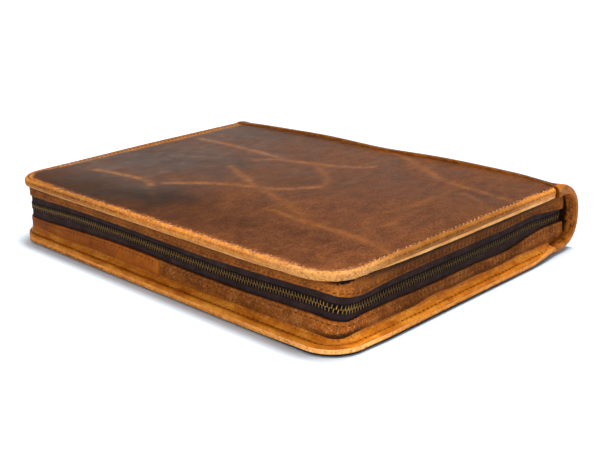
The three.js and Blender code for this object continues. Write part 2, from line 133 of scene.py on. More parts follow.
LATTICE_SIZE = 256


def through(where, places, values):
    """Smooth curve through rows: cubic pieces whose slope at a row is that between its neighbours."""
    places = np.asarray(places, float)
    values = np.asarray(values, float)
    where = np.clip(where, places[0], places[-1])
    slope = np.empty_like(values)
    slope[1:-1] = (values[2:] - values[:-2]) / (places[2:] - places[:-2])
    slope[0] = (values[1] - values[0]) / (places[1] - places[0])
    slope[-1] = (values[-1] - values[-2]) / (places[-1] - places[-2])
    i = np.clip(np.searchsorted(places, where, side="right") - 1, 0, len(places) - 2)
    span = places[i + 1] - places[i]
    t = (where - places[i]) / span
    s = 1 - t
    return (
        values[i] * (1 + 2 * t) * s * s
        + slope[i] * span * t * s * s
        + values[i + 1] * (1 + 2 * s) * t * t
        - slope[i + 1] * span * s * t * t
    )


def smooth(value, start, end):
    """0 before start, 1 after end and an S curve between."""
    t = np.clip((value - start) / (end - start), 0, 1)
    return t * t * (3 - 2 * t)


def bell(value, middle, width):
    """1 at the middle, falling off to both sides as exp(-((value - middle) / width)^2)."""
    return np.exp(-(((value - middle) / width) ** 2))


def lattice_noise(u, v, cell, seed):
    """Smooth noise from -1 to 1: random heights on a square lattice, blended by S curves in each cell."""
    heights = np.random.default_rng(seed).uniform(-1, 1, (LATTICE_SIZE, LATTICE_SIZE))
    a, b = np.broadcast_arrays(np.asarray(u) / cell, np.asarray(v) / cell)
    i, j = np.floor(a).astype(int), np.floor(b).astype(int)
    s, t = smooth(a - i, 0, 1), smooth(b - j, 0, 1)

    def pick(di, dj):
        return heights[(i + di) % LATTICE_SIZE, (j + dj) % LATTICE_SIZE]

    near = pick(0, 0) * (1 - s) + pick(1, 0) * s
    far = pick(0, 1) * (1 - s) + pick(1, 1) * s
    return near * (1 - t) + far * t


def collar_y(x):
    """Where the covers end under the spine's flap."""
    return through(x, SPINE.x, SPINE.edge) + through(x, SPINE.x, SPINE.lap)


RIM_END = float(collar_y(BACK_RIM.right)) - GAP
print("the rims end at y =", round(RIM_END, 2), "mm")

# %% [markdown]
# ## The border path
# Rims, edging, gusset and zip all follow the same border. Its stations are the same for every outline:
# a place on the border is the centre of a corner, moved up the side or along the fore edge, plus the
# outward direction times the corner's radius. A strip is then a profile, distance out and height,
# carried along these stations. A curve with a bevel could carry it too, but with shared stations the
# neighbouring pieces meet all the way round.

# %% Border stations
SIDE_STEPS = 150
CORNER_STEPS = 26
FORE_STEPS = 190

side_lift = np.linspace(1, 0, SIDE_STEPS, endpoint=False)
corner_turn = np.linspace(0, np.pi / 2, CORNER_STEPS, endpoint=False)
fore_run = np.linspace(0, 1, FORE_STEPS + 1)
no_side = np.zeros(SIDE_STEPS)
no_corner = np.zeros(CORNER_STEPS)
no_fore = np.zeros(FORE_STEPS + 1)
LIFT = np.r_[side_lift, no_corner, no_fore, no_corner, side_lift[::-1]]
TURN = np.r_[no_side, corner_turn, no_fore + np.pi / 2, corner_turn[::-1], no_side]
RUN = np.r_[no_side, no_corner, fore_run, no_corner + 1, no_side + 1]
ON_LEFT = RUN < 0.5
OUT_X = np.cos(TURN) * np.where(ON_LEFT, -1, 1)
OUT_Y = -np.sin(TURN)


def border(outline, out=0.0, end_y=RIM_END):
    """X and Y of an outline's stations, moved out by a distance, with the sides ending at end_y."""
    reach = outline.radius + np.asarray(out, float)
    centre_x = outline.left + outline.radius + RUN * (outline.right - outline.left - 2 * outline.radius)
    centre_y = outline.fore + outline.radius
    x = centre_x + OUT_X * reach
    y = centre_y + LIFT * (np.asarray(end_y, float) - centre_y) + OUT_Y * reach
    return np.broadcast_arrays(x, y)


def path_length(x, y):
    """Distance along a path from its start."""
    return np.r_[0, np.cumsum(np.hypot(np.diff(x), np.diff(y)))]


ALONG = path_length(*border(GUSSET_FACE, end_y=BACK_Y - SPINE_WALL))
ALONG = ALONG - ALONG[-1] / 2
ZEROS = 0 * ALONG  # one for every station
UPWARD = (ZEROS, ZEROS, ZEROS + 1)
DOWNWARD = (ZEROS, ZEROS, ZEROS - 1)
SIDEWAYS = (OUT_X, OUT_Y, ZEROS)

LEFT_CORNER = -168.0
CORNER_SPREAD = 34.0
TAPE_OUT = 1.0  # the tape stands this much further out at the left corner
at_left_corner = bell(ALONG, LEFT_CORNER, CORNER_SPREAD)
print(len(ALONG), "stations over", round(ALONG[-1] * 2), "mm of gusset")

# %% [markdown]
# ## Putting arrays into meshes
# A few helpers turn arrays of points into meshes. A tube is a closed profile carried along an open
# path, with both ends capped. A shell is a closed path shrunk ring by ring to a pole at each end. Small
# shapes, such as stitches or teeth, are stacks of rings, and many of them become one joined mesh. Each
# mesh is turned outwards by the sign of its volume. Modifiers could build such shapes as well, but arrays
# say where every point lies, and values for the material can be stored on the same points.

# %% Mesh from arrays
ROOT = "root"


def faces_outward(points, quads):
    """True if the volume that the faces enclose is positive."""
    a, b, c, d = (points[quads[:, k]] for k in range(4))
    volume = np.einsum("ij,ij->", a, np.cross(b, c)) + np.einsum("ij,ij->", a, np.cross(c, d))
    return volume >= 0


def build(name, points, quads, caps=(), values=None, uv=None):
    """A smooth mesh object from points in millimetres, quads, and caps given as lists of points."""
    points = np.asarray(points, float)
    faces = [np.asarray(quads).ravel()] + [np.asarray(c).ravel() for c in caps]
    sizes = np.r_[np.full(len(quads), 4), [len(c) for c in caps]].astype(np.int32)
    corners = np.concatenate(faces).astype(np.int32)
    mesh = bpy.data.meshes.new(name)
    mesh.vertices.add(len(points))
    mesh.vertices.foreach_set("co", (points * MM).astype(np.float32).ravel())
    mesh.loops.add(len(corners))
    mesh.loops.foreach_set("vertex_index", corners)
    mesh.polygons.add(len(sizes))
    mesh.polygons.foreach_set("loop_start", np.r_[0, np.cumsum(sizes)[:-1]].astype(np.int32))
    mesh.polygons.foreach_set("loop_total", sizes)
    if uv is not None:
        layer = mesh.uv_layers.new(name="strip")
        layer.data.foreach_set("uv", np.asarray(uv, np.float32)[corners].ravel())
    for key, value in (values or {}).items():
        layer = mesh.attributes.new(key, "FLOAT", "POINT")
        layer.data.foreach_set("value", np.asarray(value, np.float32).ravel())
    mesh.update(calc_edges=True)
    mesh.validate()
    if not faces_outward(points, quads):
        mesh.flip_normals()
    mesh.shade_smooth()
    piece = bpy.data.objects.new(name, mesh)
    bpy.context.scene.collection.objects.link(piece)
    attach(piece, ROOT)
    print(name, len(points), "points")
    return piece


print("every mesh rides on", ROOT)

# %% Grids, tubes and shells


def grid_quads(rows, columns, wrap_rows=False, wrap_columns=False):
    """Quads between neighbouring rows and columns of a grid of points, numbered row by row."""
    r = np.arange(rows if wrap_rows else rows - 1)[:, None] * columns
    c = np.arange(columns if wrap_columns else columns - 1)[None, :]
    r2, c2 = (r + columns) % (rows * columns), (c + 1) % columns
    corners = np.broadcast_arrays(r + c, r + c2, r2 + c2, r2 + c)
    return np.stack(corners, -1).reshape(-1, 4)


def tube(name, x, y, z, values=None, uv=None):
    """A closed profile (rows) along an open path (columns), with a cap on each end."""
    x, y, z = np.broadcast_arrays(x, y, z)
    rows, columns = x.shape
    ring = np.arange(rows) * columns
    caps = [ring, (ring + columns - 1)[::-1]]
    points = np.stack([x, y, z], -1).reshape(-1, 3)
    return build(name, points, grid_quads(rows, columns, wrap_rows=True), caps, values, uv)


def shell(name, x, y, z, values):
    """Closed rings (rows) from one pole to the other, each pole closed by a fan round its middle."""
    rows, columns = x.shape
    points = np.stack([x, y, z], -1)
    poles = np.stack([points[0].mean(0), points[-1].mean(0)])
    points = np.concatenate([points.reshape(-1, 3), poles])
    i = np.arange(columns)
    j = (i + 1) % columns
    last = (rows - 1) * columns
    first_pole = np.full(columns, rows * columns)
    fans = [np.stack([first_pole, j, i], -1), np.stack([first_pole + 1, last + i, last + j], -1)]
    values = {key: np.r_[np.ravel(v), v[0].mean(), v[-1].mean()] for key, v in values.items()}
    return build(name, points, grid_quads(rows, columns, wrap_columns=True), np.concatenate(fans), values)


def capped(rings):
    """Points, quads and both end caps of a stack of rings, given as rings by points by 3."""
    rows, columns = rings.shape[:2]
    first = np.arange(columns)
    caps = [first[::-1], first + (rows - 1) * columns]
    return rings.reshape(-1, 3), grid_quads(rows, columns, wrap_columns=True), caps


print("two rings of eight points have", len(grid_quads(2, 8, wrap_columns=True)), "quads between them")

# %% Strip maps and finishing
UV_UNIT = 100.0  # millimetres in one unit of a strip's UV map


def strip_map(across, part=slice(None)):
    """UV of a strip's points: U along the border and V across it."""
    along = np.broadcast_to(ALONG, across.shape)
    return (np.stack([along, across], -1) / UV_UNIT)[:, part].reshape(-1, 2)


def finish_piece(piece, material, slot, *nodes):
    """Gives a piece its material and hides the CAD nodes that it stands for; the slot is not used."""
    piece.data.materials.append(material)
    if nodes:
        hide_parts(*nodes)


print("the border is", round(2 * ALONG[-1] / UV_UNIT, 2), "units long on a strip's map")

# %% [markdown]
# ## Short ways to write a material
# A material is a small graph of nodes, which could also be drawn by hand in the editor. These classes add
# a node and join its inputs in one line, so that a finish reads from top to bottom: where on the piece,
# which noise, which colours, how rough and how bumpy. The background is such a graph too.

# %% Colours and graphs
MIX_A, MIX_B, MIX_OUT = 6, 7, 2  # the Mix node's colour sockets, which share their names with others


def srgb(r, g, b):
    """Linear colour of a screen colour from 0 to 255."""
    c = np.array([r, g, b]) / 255
    linear = np.where(c <= 0.04045, c / 12.92, ((c + 0.055) / 1.055) ** 2.4)
    return (*linear.tolist(), 1.0)


class Graph:
    """A tree of shader nodes and short ways to add to it."""

    def __init__(self, tree):
        self.tree = tree

    def add(self, kind, inputs=None, **settings):
        """A new node with settings, whose inputs are values or other nodes' outputs."""
        node = self.tree.nodes.new("ShaderNode" + kind)
        for key, value in settings.items():
            setattr(node, key, value)
        for key, value in (inputs or {}).items():
            self.join(value, node.inputs[key])
        return node

    def join(self, value, socket):
        """Links another node's output to a socket, or sets the socket's own value."""
        if isinstance(value, bpy.types.NodeSocket):
            self.tree.links.new(value, socket)
        else:
            socket.default_value = value

    def ramp(self, value, *stops):
        """Colours along a value; stops are (place, colour)."""
        node = self.add("ValToRGB", {"Fac": value})
        elements = node.color_ramp.elements
        while len(elements) < len(stops):
            elements.new(0.5)
        for element, (place, colour) in zip(elements, stops):
            element.position = place
            element.color = colour
        return node.outputs["Color"]

    def mix(self, share, a, b):
        """Colour a where the share is 0 and colour b where it is 1."""
        inputs = {"Factor": share, MIX_A: a, MIX_B: b}
        return self.add("Mix", inputs, data_type="RGBA").outputs[MIX_OUT]


print("middle grey on screen is", round(srgb(128, 128, 128)[0], 3), "in linear light")

# %% Finishes


class Finish(Graph):
    """A material and short ways to write its colours, noises and bumps."""

    def __init__(self, name):
        self.material = bpy.data.materials.new(name)
        self.material.use_nodes = True
        super().__init__(self.material.node_tree)
        self.shader = self.tree.nodes["Principled BSDF"]
        self.place = self.add("TexCoord").outputs["Object"]

    def stretch(self, scale, turn=0.0):
        """Coordinates turned about Z and stretched by a scale along each axis."""
        inputs = {"Vector": self.place, "Scale": scale, "Rotation": (0, 0, turn)}
        return self.add("Mapping", inputs).outputs["Vector"]

    def noise(self, scale, detail=4.0, rough=0.55, place=None, warp=0.0):
        """Cloudy noise from 0 to 1; the scale is the number of clouds in one unit of the coordinates."""
        inputs = {"Vector": place or self.place, "Scale": scale, "Detail": detail, "Roughness": rough}
        return self.add("TexNoise", {**inputs, "Distortion": warp}).outputs["Fac"]

    def cells(self, scale, place):
        """Distance to the nearest of scattered points, which looks like pebbles."""
        return self.add("TexVoronoi", {"Vector": place, "Scale": scale}).outputs["Distance"]

    def attribute(self, name):
        """A value that is stored on the mesh's points."""
        return self.add("Attribute", attribute_name=name).outputs["Fac"]

    def strip(self):
        """U and V of a strip's own map: along it and across it."""
        parts = self.add("SeparateXYZ", {"Vector": self.add("UVMap", uv_map="strip").outputs["UV"]})
        return parts.outputs["X"], parts.outputs["Y"]

    def math(self, operation, a, b=0.0):
        """One step of arithmetic on one or two values."""
        return self.add("Math", {0: a, 1: b}, operation=operation).outputs[0]

    def times(self, a, b):
        """Two values multiplied."""
        return self.math("MULTIPLY", a, b)

    def plus(self, a, b):
        """Two values added."""
        return self.math("ADD", a, b)

    def apart(self, a, b):
        """How far two values are apart, whichever is larger."""
        return self.math("ABSOLUTE", self.math("SUBTRACT", a, b))

    def strip_noise(self, along_scale, scale, detail, rough):
        """Noise on a strip's own map, whose U is first multiplied by a scale."""
        along, across = self.strip()
        place = self.add("CombineXYZ", {"X": self.times(along, along_scale), "Y": across}).outputs[0]
        return self.noise(scale, detail, rough, place)

    def span(self, value, low, high, to_low=0.0, to_high=1.0):
        """A value mapped by an S curve from one range to another, held at its ends."""
        inputs = {"Value": value, "From Min": low, "From Max": high, "To Min": to_low, "To Max": to_high}
        return self.add("MapRange", inputs, interpolation_type="SMOOTHSTEP").outputs["Result"]

    def dab(self, colour, paint, value, low, high, share=1.0):
        """A colour covered by a share of paint as a value goes from low to high."""
        return self.mix(self.span(value, low, high, 0.0, share), colour, paint)

    def brighter(self, colour, amount):
        """A colour whose brightness is multiplied by an amount."""
        return self.add("HueSaturation", {"Color": colour, "Value": amount}).outputs["Color"]

    def shaded(self, colour, value, low, high, dark, bright):
        """A colour whose brightness goes from dark to bright as a value goes from low to high."""
        return self.brighter(colour, self.span(value, low, high, dark, bright))

    def bump(self, height, distance, strength=1.0, normal=None):
        """Normals bent as if a height of 1 stood out by a distance in metres."""
        inputs = {"Height": height, "Distance": distance, "Strength": strength}
        if normal is not None:
            inputs["Normal"] = normal
        return self.add("Bump", inputs).outputs["Normal"]

    def surface(self, **sockets):
        """Joins values to the shader's own sockets, named with underscores for spaces."""
        for key, value in sockets.items():
            self.join(value, self.shader.inputs[key.replace("_", " ")])
        return self.material


print("ways to write a finish:", ", ".join(way for way in vars(Finish) if not way.startswith("_")))

# %% [markdown]
# ## Charts
# Wear, dirt and rubbing change from place to place, and so do the light patches that handling leaves and the
# painted light and shade of each side.
# They could be painted on the mesh, but a chart, a few places and a value at each, is easier to read and
# to change. Along the border, places are millimetres along the gusset: 0 is the middle of the fore edge,
# 172 the corner beside the camera, and the spine is at both ends.

# %% Charts
Chart = namedtuple("Chart", "places values")


def at(chart, place):
    """A chart's value at any places."""
    return through(place, chart.places, chart.values)


def charted(chart):
    """A chart's value at every station of the border."""
    return at(chart, ALONG)


print("charts of the border go from", round(ALONG[0]), "to", round(ALONG[-1]), "mm")

# %% [markdown]
# ## The waxed leather of the covers
# The covers are waxed pull-up leather. Where it is bent or rubbed the wax moves and the leather turns
# lighter, so it has pale scars and veins, dark patches, a mottled brown ground, and rims that are rubbed
# to tan. The scars and patches are charted as a few places on the panel, and stored on the
# mesh's points. The material adds the finer mottling and breaks the charted marks up with noise. A painted
# picture could hold all of it, but noise stays sharp close up, and a charted mark can be moved.

# %% Scars and patches of the front panel
Scar = namedtuple("Scar", "places width strength")
PANEL_SCARS = [
    Scar([(-150, 43), (-121, 44), (-89, 43), (-60, 41), (-40, 37)], 3.2, 0.52),
    Scar([(-55, 20), (-47, 31), (-34, 37), (1, 48), (20, 56), (32, 65)], 3.6, 0.5),
    Scar([(-60, -74), (-40, -58), (-22, -46), (-2, -37), (16, -30), (29, -18), (36, -3)], 3.6, 0.6),
    Scar([(36, -3), (34, 8), (24, 20), (8, 31), (-6, 40)], 3.8, 0.24),
    Scar([(-56, -7), (-40, -15), (-18, -25), (0, -34)], 4.0, 0.42),
    Scar([(14, -40), (38, -47), (60, -57), (76, -64)], 4.6, 0.32),
    Scar([(54, -70), (84, -73), (112, -74), (140, -77), (167, -83)], 3.6, 0.38),
    Scar([(22, 108), (40, 101), (66, 87), (92, 72), (112, 66), (140, 62), (166, 58)], 3.2, 0.36),
    Scar([(-132, -86), (-116, -83), (-92, -80), (-72, -80), (-62, -85)], 3.2, 0.62),
    Scar([(-60, -86), (-48, -96), (-34, -104)], 3.4, 0.12),
    Scar([(116, 58), (118, 30), (120, 4), (128, -22), (133, -48)], 3.4, 0.2),
    Scar([(128, 50), (142, 46), (156, 35)], 2.8, 0.26),
]
SCAR_STEPS = 18  # places worked out for each place of a scar
Patch = namedtuple("Patch", "centre radii strength")
PANEL_PATCHES = [
    Patch((-34, -92), (27, 21), 0.4),
    Patch((-56, -110), (44, 24), 0.33),
    Patch((-108, -30), (42, 28), 0.32),
    Patch((-112, -112), (48, 26), 0.26),
    Patch((-60, 2), (26, 24), 0.2),
    Patch((-120, 85), (40, 20), 0.15),
    Patch((66, -104), (22, 7), 0.3),
    Patch((104, -92), (24, 7), 0.28),
    Patch((20, -4), (20, 22), 0.16),
    Patch((36, 34), (18, 18), 0.16),
    Patch((155, 45), (55, 75), 0.24),
    Patch((-172, -60), (30, 70), 0.1),
    Patch((8, -110), (42, 24), 0.16),
    Patch((118, -104), (30, 20), -0.1),
]
Wander = namedtuple("Wander", "reach cell seed_x seed_y")
PATCH_WANDER = [Wander(9, 24, 71, 72), Wander(6, 9, 73, 74)]
TONE_BY_X = Chart([-172, -100, 0, 90, 140, 172], [0.42, 0.53, 0.65, 0.78, 0.86, 0.9])
WAX_BY_Y = Chart([-140, -105, -85, -50, 0, 60, 120], [0.2, 0.35, 0.5, 0.8, 1.0, 1.2, 1.3])
WAX_BY_X = Chart([-172, -100, -30, 40, 110, 172], [0.85, 0.82, 0.7, 0.6, 0.52, 0.48])
WAX_AT_FORE = Chart([-140, -118, -95, -80], [0.5, 0.65, 0.95, 1.0])
WAX_KEPT, WAX_WORN = -90.0, 40.0  # X between which the wax starts to follow WAX_BY_Y
GREY_FROM, GREY_TO = 20.0, -60.0  # X between which the patches turn grey with painted sheen
GREY_SHARE, GREY_MOST = 1.5, 0.8


def scar_chart(x, y, scars):
    """Nearness to any scar: strength times a bell of the distance to a smooth curve through it."""
    nearness = np.zeros(x.shape)
    for scar in scars:
        places = np.array(scar.places, float)
        steps = np.linspace(0, len(places) - 1, SCAR_STEPS * len(places))
        path = [through(steps, np.arange(len(places)), places[:, k]) for k in (0, 1)]
        distance = np.full(x.shape, np.inf)
        for a, b in zip(*path):
            distance = np.minimum(distance, np.hypot(x - a, y - b))
        nearness = np.maximum(nearness, scar.strength * bell(distance, 0, scar.width))
    return nearness


def patch_chart(x, y, patches):
    """Light that the patches leave: one minus each soft ellipse, whose edges wander, multiplied."""
    light = np.ones(x.shape)
    u = x + sum(w.reach * lattice_noise(x, y, w.cell, w.seed_x) for w in PATCH_WANDER)
    v = y + sum(w.reach * lattice_noise(x, y, w.cell, w.seed_y) for w in PATCH_WANDER)
    for patch in patches:
        (a, b), (p, q) = patch.centre, patch.radii
        light = light * (1 - patch.strength * bell(u, a, p) * bell(v, b, q))
    return light


def panel_wear_and_sheen(x, y, light):
    """Tone, grey of painted sheen, and wax of a panel, from the charts and the light that its patches leave.
    """
    rubbed = (1 - at(WAX_BY_Y, y)) * smooth(x, WAX_KEPT, WAX_WORN)
    # painted sheen: the darker patches on the left turn grey, as the wax's reflection of the bright
    # background would make them
    grey = np.clip(GREY_SHARE * (1 - light), 0, GREY_MOST) * smooth(-x, -GREY_FROM, -GREY_TO)
    return {
        "tone": light * at(TONE_BY_X, x),
        "grey": grey,
        "wax": (1 - rubbed) * at(WAX_BY_X, x) * at(WAX_AT_FORE, y),
    }


print(len(PANEL_SCARS), "scars and", len(PANEL_PATCHES), "patches are charted")

# %% Grain, ground and rim of the waxed leather
RIM_SEAM = 2.4


def leather_grain(finish, pores=1.0, creases=0.5):
    """Normals of fine grain: pebbles under a millimetre, pores in them, and creases a few mm long."""
    pebbles = finish.cells(1150.0, finish.stretch((1, 1, 1), 0.4))
    fine = finish.noise(2600.0, 3.0, 0.6)
    folds = finish.noise(170.0, 6.0, 0.65, finish.stretch((1, 0.45, 1), 0.6), 0.8)
    normal = finish.bump(pebbles, 0.00012 * pores, 0.6)
    normal = finish.bump(fine, 0.00009 * pores, 0.6, normal)
    return finish.bump(folds, 0.0006 * creases, 0.5, normal)


def waxed_ground(finish, ground):
    """Mottled brown with smears, flecks, golden wear, broken scars, and painted sheen: grey on the darker
    patches and a paler haze where the wax is.
    """
    tone = finish.attribute("tone")
    colour = finish.ramp(
        ground, (0.3, srgb(90, 51, 28)), (0.5, srgb(104, 60, 33)), (0.72, srgb(120, 71, 37))
    )
    smears = finish.noise(130.0, 5.0, 0.6, finish.stretch((1, 0.5, 1), 0.5))
    colour = finish.shaded(colour, smears, 0.3, 0.7, 0.8, 1.2)
    colour = finish.shaded(colour, finish.noise(620.0, 5.0, 0.75), 0.34, 0.66, 0.7, 1.3)
    golden = finish.span(finish.noise(380.0, 5.0, 0.75), 0.52, 0.66, 0.0, 0.45)
    golden = finish.times(golden, finish.span(tone, 0.5, 1.0, 0.1, 1.0))
    colour = finish.mix(golden, colour, srgb(156, 88, 40))
    # painted sheen: grey mixed into the darker patches on the left
    colour = finish.mix(finish.attribute("grey"), colour, srgb(70, 60, 51))
    colour = finish.brighter(colour, tone)
    # painted sheen: a paler haze where the wax chart is high
    sheen_haze = finish.span(finish.noise(75.0, 7.0, 0.7, warp=0.7), 0.46, 0.68, 0.0, 0.5)
    sheen_haze = finish.times(sheen_haze, finish.span(finish.attribute("wax"), 0.3, 0.9))
    colour = finish.mix(sheen_haze, colour, srgb(98, 68, 48))
    broken = finish.span(finish.noise(140.0, 4.0, 0.6), 0.3, 0.65, 0.2, 0.85)
    return finish.mix(finish.times(finish.attribute("scar"), broken), colour, srgb(166, 102, 46))


def rubbed_rim_with_painted_light(finish):
    """Mottled tan, paler where it is handled, with dark specks, glints and a broken dark seam, made brighter
    or darker along the border by painted light.
    """
    rim = finish.ramp(
        finish.noise(150.0, 6.0, 0.7),
        (0.3, srgb(176, 96, 26)), (0.5, srgb(208, 126, 40)), (0.7, srgb(228, 154, 66)),
    )
    rim = finish.mix(finish.attribute("rub"), rim, srgb(230, 164, 92))
    rim = finish.dab(rim, srgb(140, 70, 16), finish.noise(600.0, 5.0, 0.75), 0.5, 0.64, 0.75)
    rim = finish.dab(rim, srgb(240, 186, 122), finish.noise(520.0, 4.0, 0.7), 0.56, 0.7, 0.6)
    off_seam = finish.apart(finish.attribute("depth"), RIM_SEAM)
    seam = finish.times(finish.span(off_seam, 0.3, 1.3, 1.0, 0.0), finish.attribute("seam"))
    seam = finish.times(seam, finish.span(finish.noise(430.0, 4.0, 0.7), 0.4, 0.56))
    rim = finish.mix(seam, rim, srgb(112, 50, 10))
    # painted light: the rim made brighter or darker along the border, as the lamps would light it
    return finish.brighter(rim, finish.attribute("rim_painted_light"))


print("the rim's seam runs", RIM_SEAM, "mm down its side")

# %% Waxed panel leather
STITCH_INSET = 3.2


def waxed_leather(name):
    """Waxed ground that frays into a rubbed rim with painted light, fluff there, painted shade along the
    sunk stitch line, and a foot darkened by painted shade.
    """
    finish = Finish(name)
    ground = finish.noise(30.0, 6.0, 0.62, warp=0.5)
    colour = waxed_ground(finish, ground)
    inset = finish.attribute("inset")
    wander = finish.span(finish.noise(70.0, 3.0, 0.6), 0.3, 0.7, -0.8, 0.8)
    fray = finish.span(finish.noise(560.0, 5.0, 0.75), 0.34, 0.66, -1.6, 1.6)
    frayed = finish.plus(finish.plus(inset, wander), fray)
    past_rim = finish.math("SUBTRACT", frayed, finish.attribute("reach"))
    beyond = finish.math("DIVIDE", past_rim, finish.attribute("soft"))
    colour = finish.mix(finish.span(beyond, 0.0, 2.5, 0.22, 0.0), colour, srgb(140, 78, 36))
    colour = finish.mix(finish.span(beyond, -1.0, 1.0, 1.0, 0.0), colour, rubbed_rim_with_painted_light(finish))
    near_line = finish.span(finish.math("ABSOLUTE", beyond), 0.2, 1.4, 1.0, 0.0)
    fluff = finish.span(finish.noise(640.0, 4.0, 0.75), 0.52, 0.66, 0.0, 0.7)
    fluff = finish.times(finish.times(near_line, fluff), finish.attribute("fluffy"))
    colour = finish.mix(fluff, colour, srgb(222, 172, 138))
    # painted shade along the sunk stitch groove, with its stitch holes
    sunk = finish.apart(inset, STITCH_INSET)
    groove_shade = finish.times(finish.span(sunk, 0.1, 0.8, 0.85, 0.0), finish.attribute("grooved"))
    colour = finish.mix(groove_shade, colour, srgb(70, 32, 12))
    # painted shade: the underside of the back cover's roll made nearly black, as where it meets the floor
    colour = finish.mix(finish.attribute("foot"), colour, srgb(12, 7, 5))
    dull = finish.span(finish.attribute("wax"), 0.0, 1.1, 0.85, 0.38)
    return finish.surface(
        Base_Color=colour,
        Roughness=finish.plus(dull, finish.span(ground, 0.3, 0.7, -0.05, 0.05)),
        Specular_IOR_Level=0.14,
        Normal=leather_grain(finish),
    )


panel_leather = waxed_leather("waxed_panel_leather")
print(panel_leather.name, "has", len(panel_leather.node_tree.nodes), "nodes")

# %% [markdown]
# ## Covers
# A cover is a padded plate. Seen in section its rim is a half-round nose, then comes the sunk stitch
# row, and inside that the padding pushes the leather up again. A rounded box could be sculpted into this.
# Rings from the middle of the outer face, over the rim, to the middle of the inner face are used instead,
# because the rim's section shows most and can be written point by point.

# %% Charts of the rims
RIM_CHARTS = {
    "rub": Chart(
        [-425, -150, 80, 130, 160, 185, 205, 240, 425], [0.25, 0.1, 0.15, 0.4, 0.8, 0.8, 0.4, 0.1, 0.1]
    ),
    "reach": Chart(
        [-425, -200, -165, -100, 100, 172, 200, 240, 425], [9.0, 9.0, 6.0, 3.4, 3.0, 2.2, 3.0, 3.0, 3.0]
    ),
    "soft": Chart([-425, -200, -165, -100, 100, 172, 205, 425], [0.8, 0.8, 1.4, 2.0, 2.8, 4.0, 1.0, 0.7]),
    # grooved: how strong the painted shade of the sunk stitch groove is
    "grooved": Chart([-425, -180, -140, -100, 150, 200, 425], [0.9, 0.9, 0.5, 0.0, 0.0, 0.5, 0.5]),
    "fluffy": Chart([-425, -150, -110, 140, 172, 200, 230, 425], [0.0, 0.1, 0.9, 0.9, 0.8, 0.5, 0.2, 0.2]),
    "seam": Chart(
        [-425, -165, -140, -60, 0, 100, 150, 185, 230, 425], [0.3, 0.4, 0.8, 0.8, 0.4, 0.4, 0, 0.2, 0.6, 0.6]
    ),
}
# painted light: how bright each stretch of a rim is made for how the lamps fall on it; the back rim, shaded
# by the front one, is made brighter
FRONT_RIM_PAINTED_LIGHT = Chart(
    [-425, -200, -165, -100, -60, 0, 60, 140, 172, 195, 230, 360, 400, 425],
    [0.5, 0.52, 0.67, 0.61, 0.74, 1.01, 1.03, 1.03, 1.04, 0.76, 0.52, 0.59, 1.0, 1.07],
)
BACK_RIM_PAINTED_LIGHT = Chart(
    [-425, -165, -60, 60, 140, 172, 195, 230, 425], [1.16, 1.13, 1.28, 1.34, 1.58, 2.05, 1.5, 1.23, 1.23]
)
BACK_BULGE = Chart(
    [-425, -150, -60, 120, 172, 200, 300, 385, 410, 425], [0, 0.2, 0.9, 0.9, 0.4, 1.7, 1.8, 2.2, 1.8, 0.8]
)
# painted shade of the back roll's underside: how high it reaches along the border
SHADED_FOOT_HEIGHT = Chart([-425, -165, 100, 150, 200, 425], [0.9, 0.7, 0.8, 1.6, 2.2, 2.0])
SHADED_FOOT_FADE = 0.6
SHADED_FOOT_INSET = 4.0  # how far inside the stitch row the painted shade of the foot may reach
print(len(RIM_CHARTS), "charts of wear on the rims")

# %% Section of a cover
GROOVE_DEPTH, GROOVE_WIDTH = 0.28, 0.8
PILLOW_HEIGHT, PILLOW_INSET = 0.5, 14.0
Waves = namedtuple("Waves", "height cell")
BROAD_WAVES, SHORT_WAVES = Waves(0.3, 55), Waves(0.1, 17)
WAVES_FROM, WAVES_FULL = 4.0, 20.0  # insets
NOSE_RADIUS = 2.8
NOSE_STEPS, NOSE_SIDE_STEPS = 10, 6
INNER_ROUNDING, INNER_TUCK, INNER_INSET = 0.1, 0.45, 2.4
BACK_STEPS = 190
BACK_ROLL = 0.05
LEFT_LIFT = 1.5
LEFT_LIFT_ALONG = (170, 330)
LEFT_LIFT_INSET = (1, 9)


def rim_out(outline):
    """How far a rim stands out past its outline: the back rim, which bears the weight, spreads."""
    return charted(BACK_BULGE) if outline is BACK_RIM else ZEROS


def cover_ring(outline, inset):
    """X and Y of a cover's whole outline, moved in by an inset; the hidden back edge moves less."""
    inset = np.asarray(inset, float)[:, None]
    x, y = border(outline, rim_out(outline) - inset, RIM_END - BACK_ROLL * inset)
    share = np.linspace(0, 1, BACK_STEPS + 2)[1:-1]
    back_x = outline.right - inset + share * (outline.left - outline.right + 2 * inset)
    back_y = collar_y(back_x) - END_GAP - BACK_ROLL * inset
    return np.concatenate([x, back_x], 1), np.concatenate([y, back_y], 1)


def nose_rows(tuck):
    """Insets and depths of the rim: a quarter round from the outer face, then a side that tucks in."""
    turn = np.linspace(0, np.pi / 2, NOSE_STEPS)
    side = np.linspace(0, 1, NOSE_SIDE_STEPS)[1:]
    side_depth = COVER_THICKNESS - NOSE_RADIUS - INNER_ROUNDING
    inset = np.r_[NOSE_RADIUS * (1 - np.sin(turn)), tuck * side**2, tuck + INNER_TUCK, INNER_INSET]
    depth = np.r_[NOSE_RADIUS * (1 - np.cos(turn)), NOSE_RADIUS + side * side_depth]
    return inset, np.r_[depth, COVER_THICKNESS, COVER_THICKNESS]


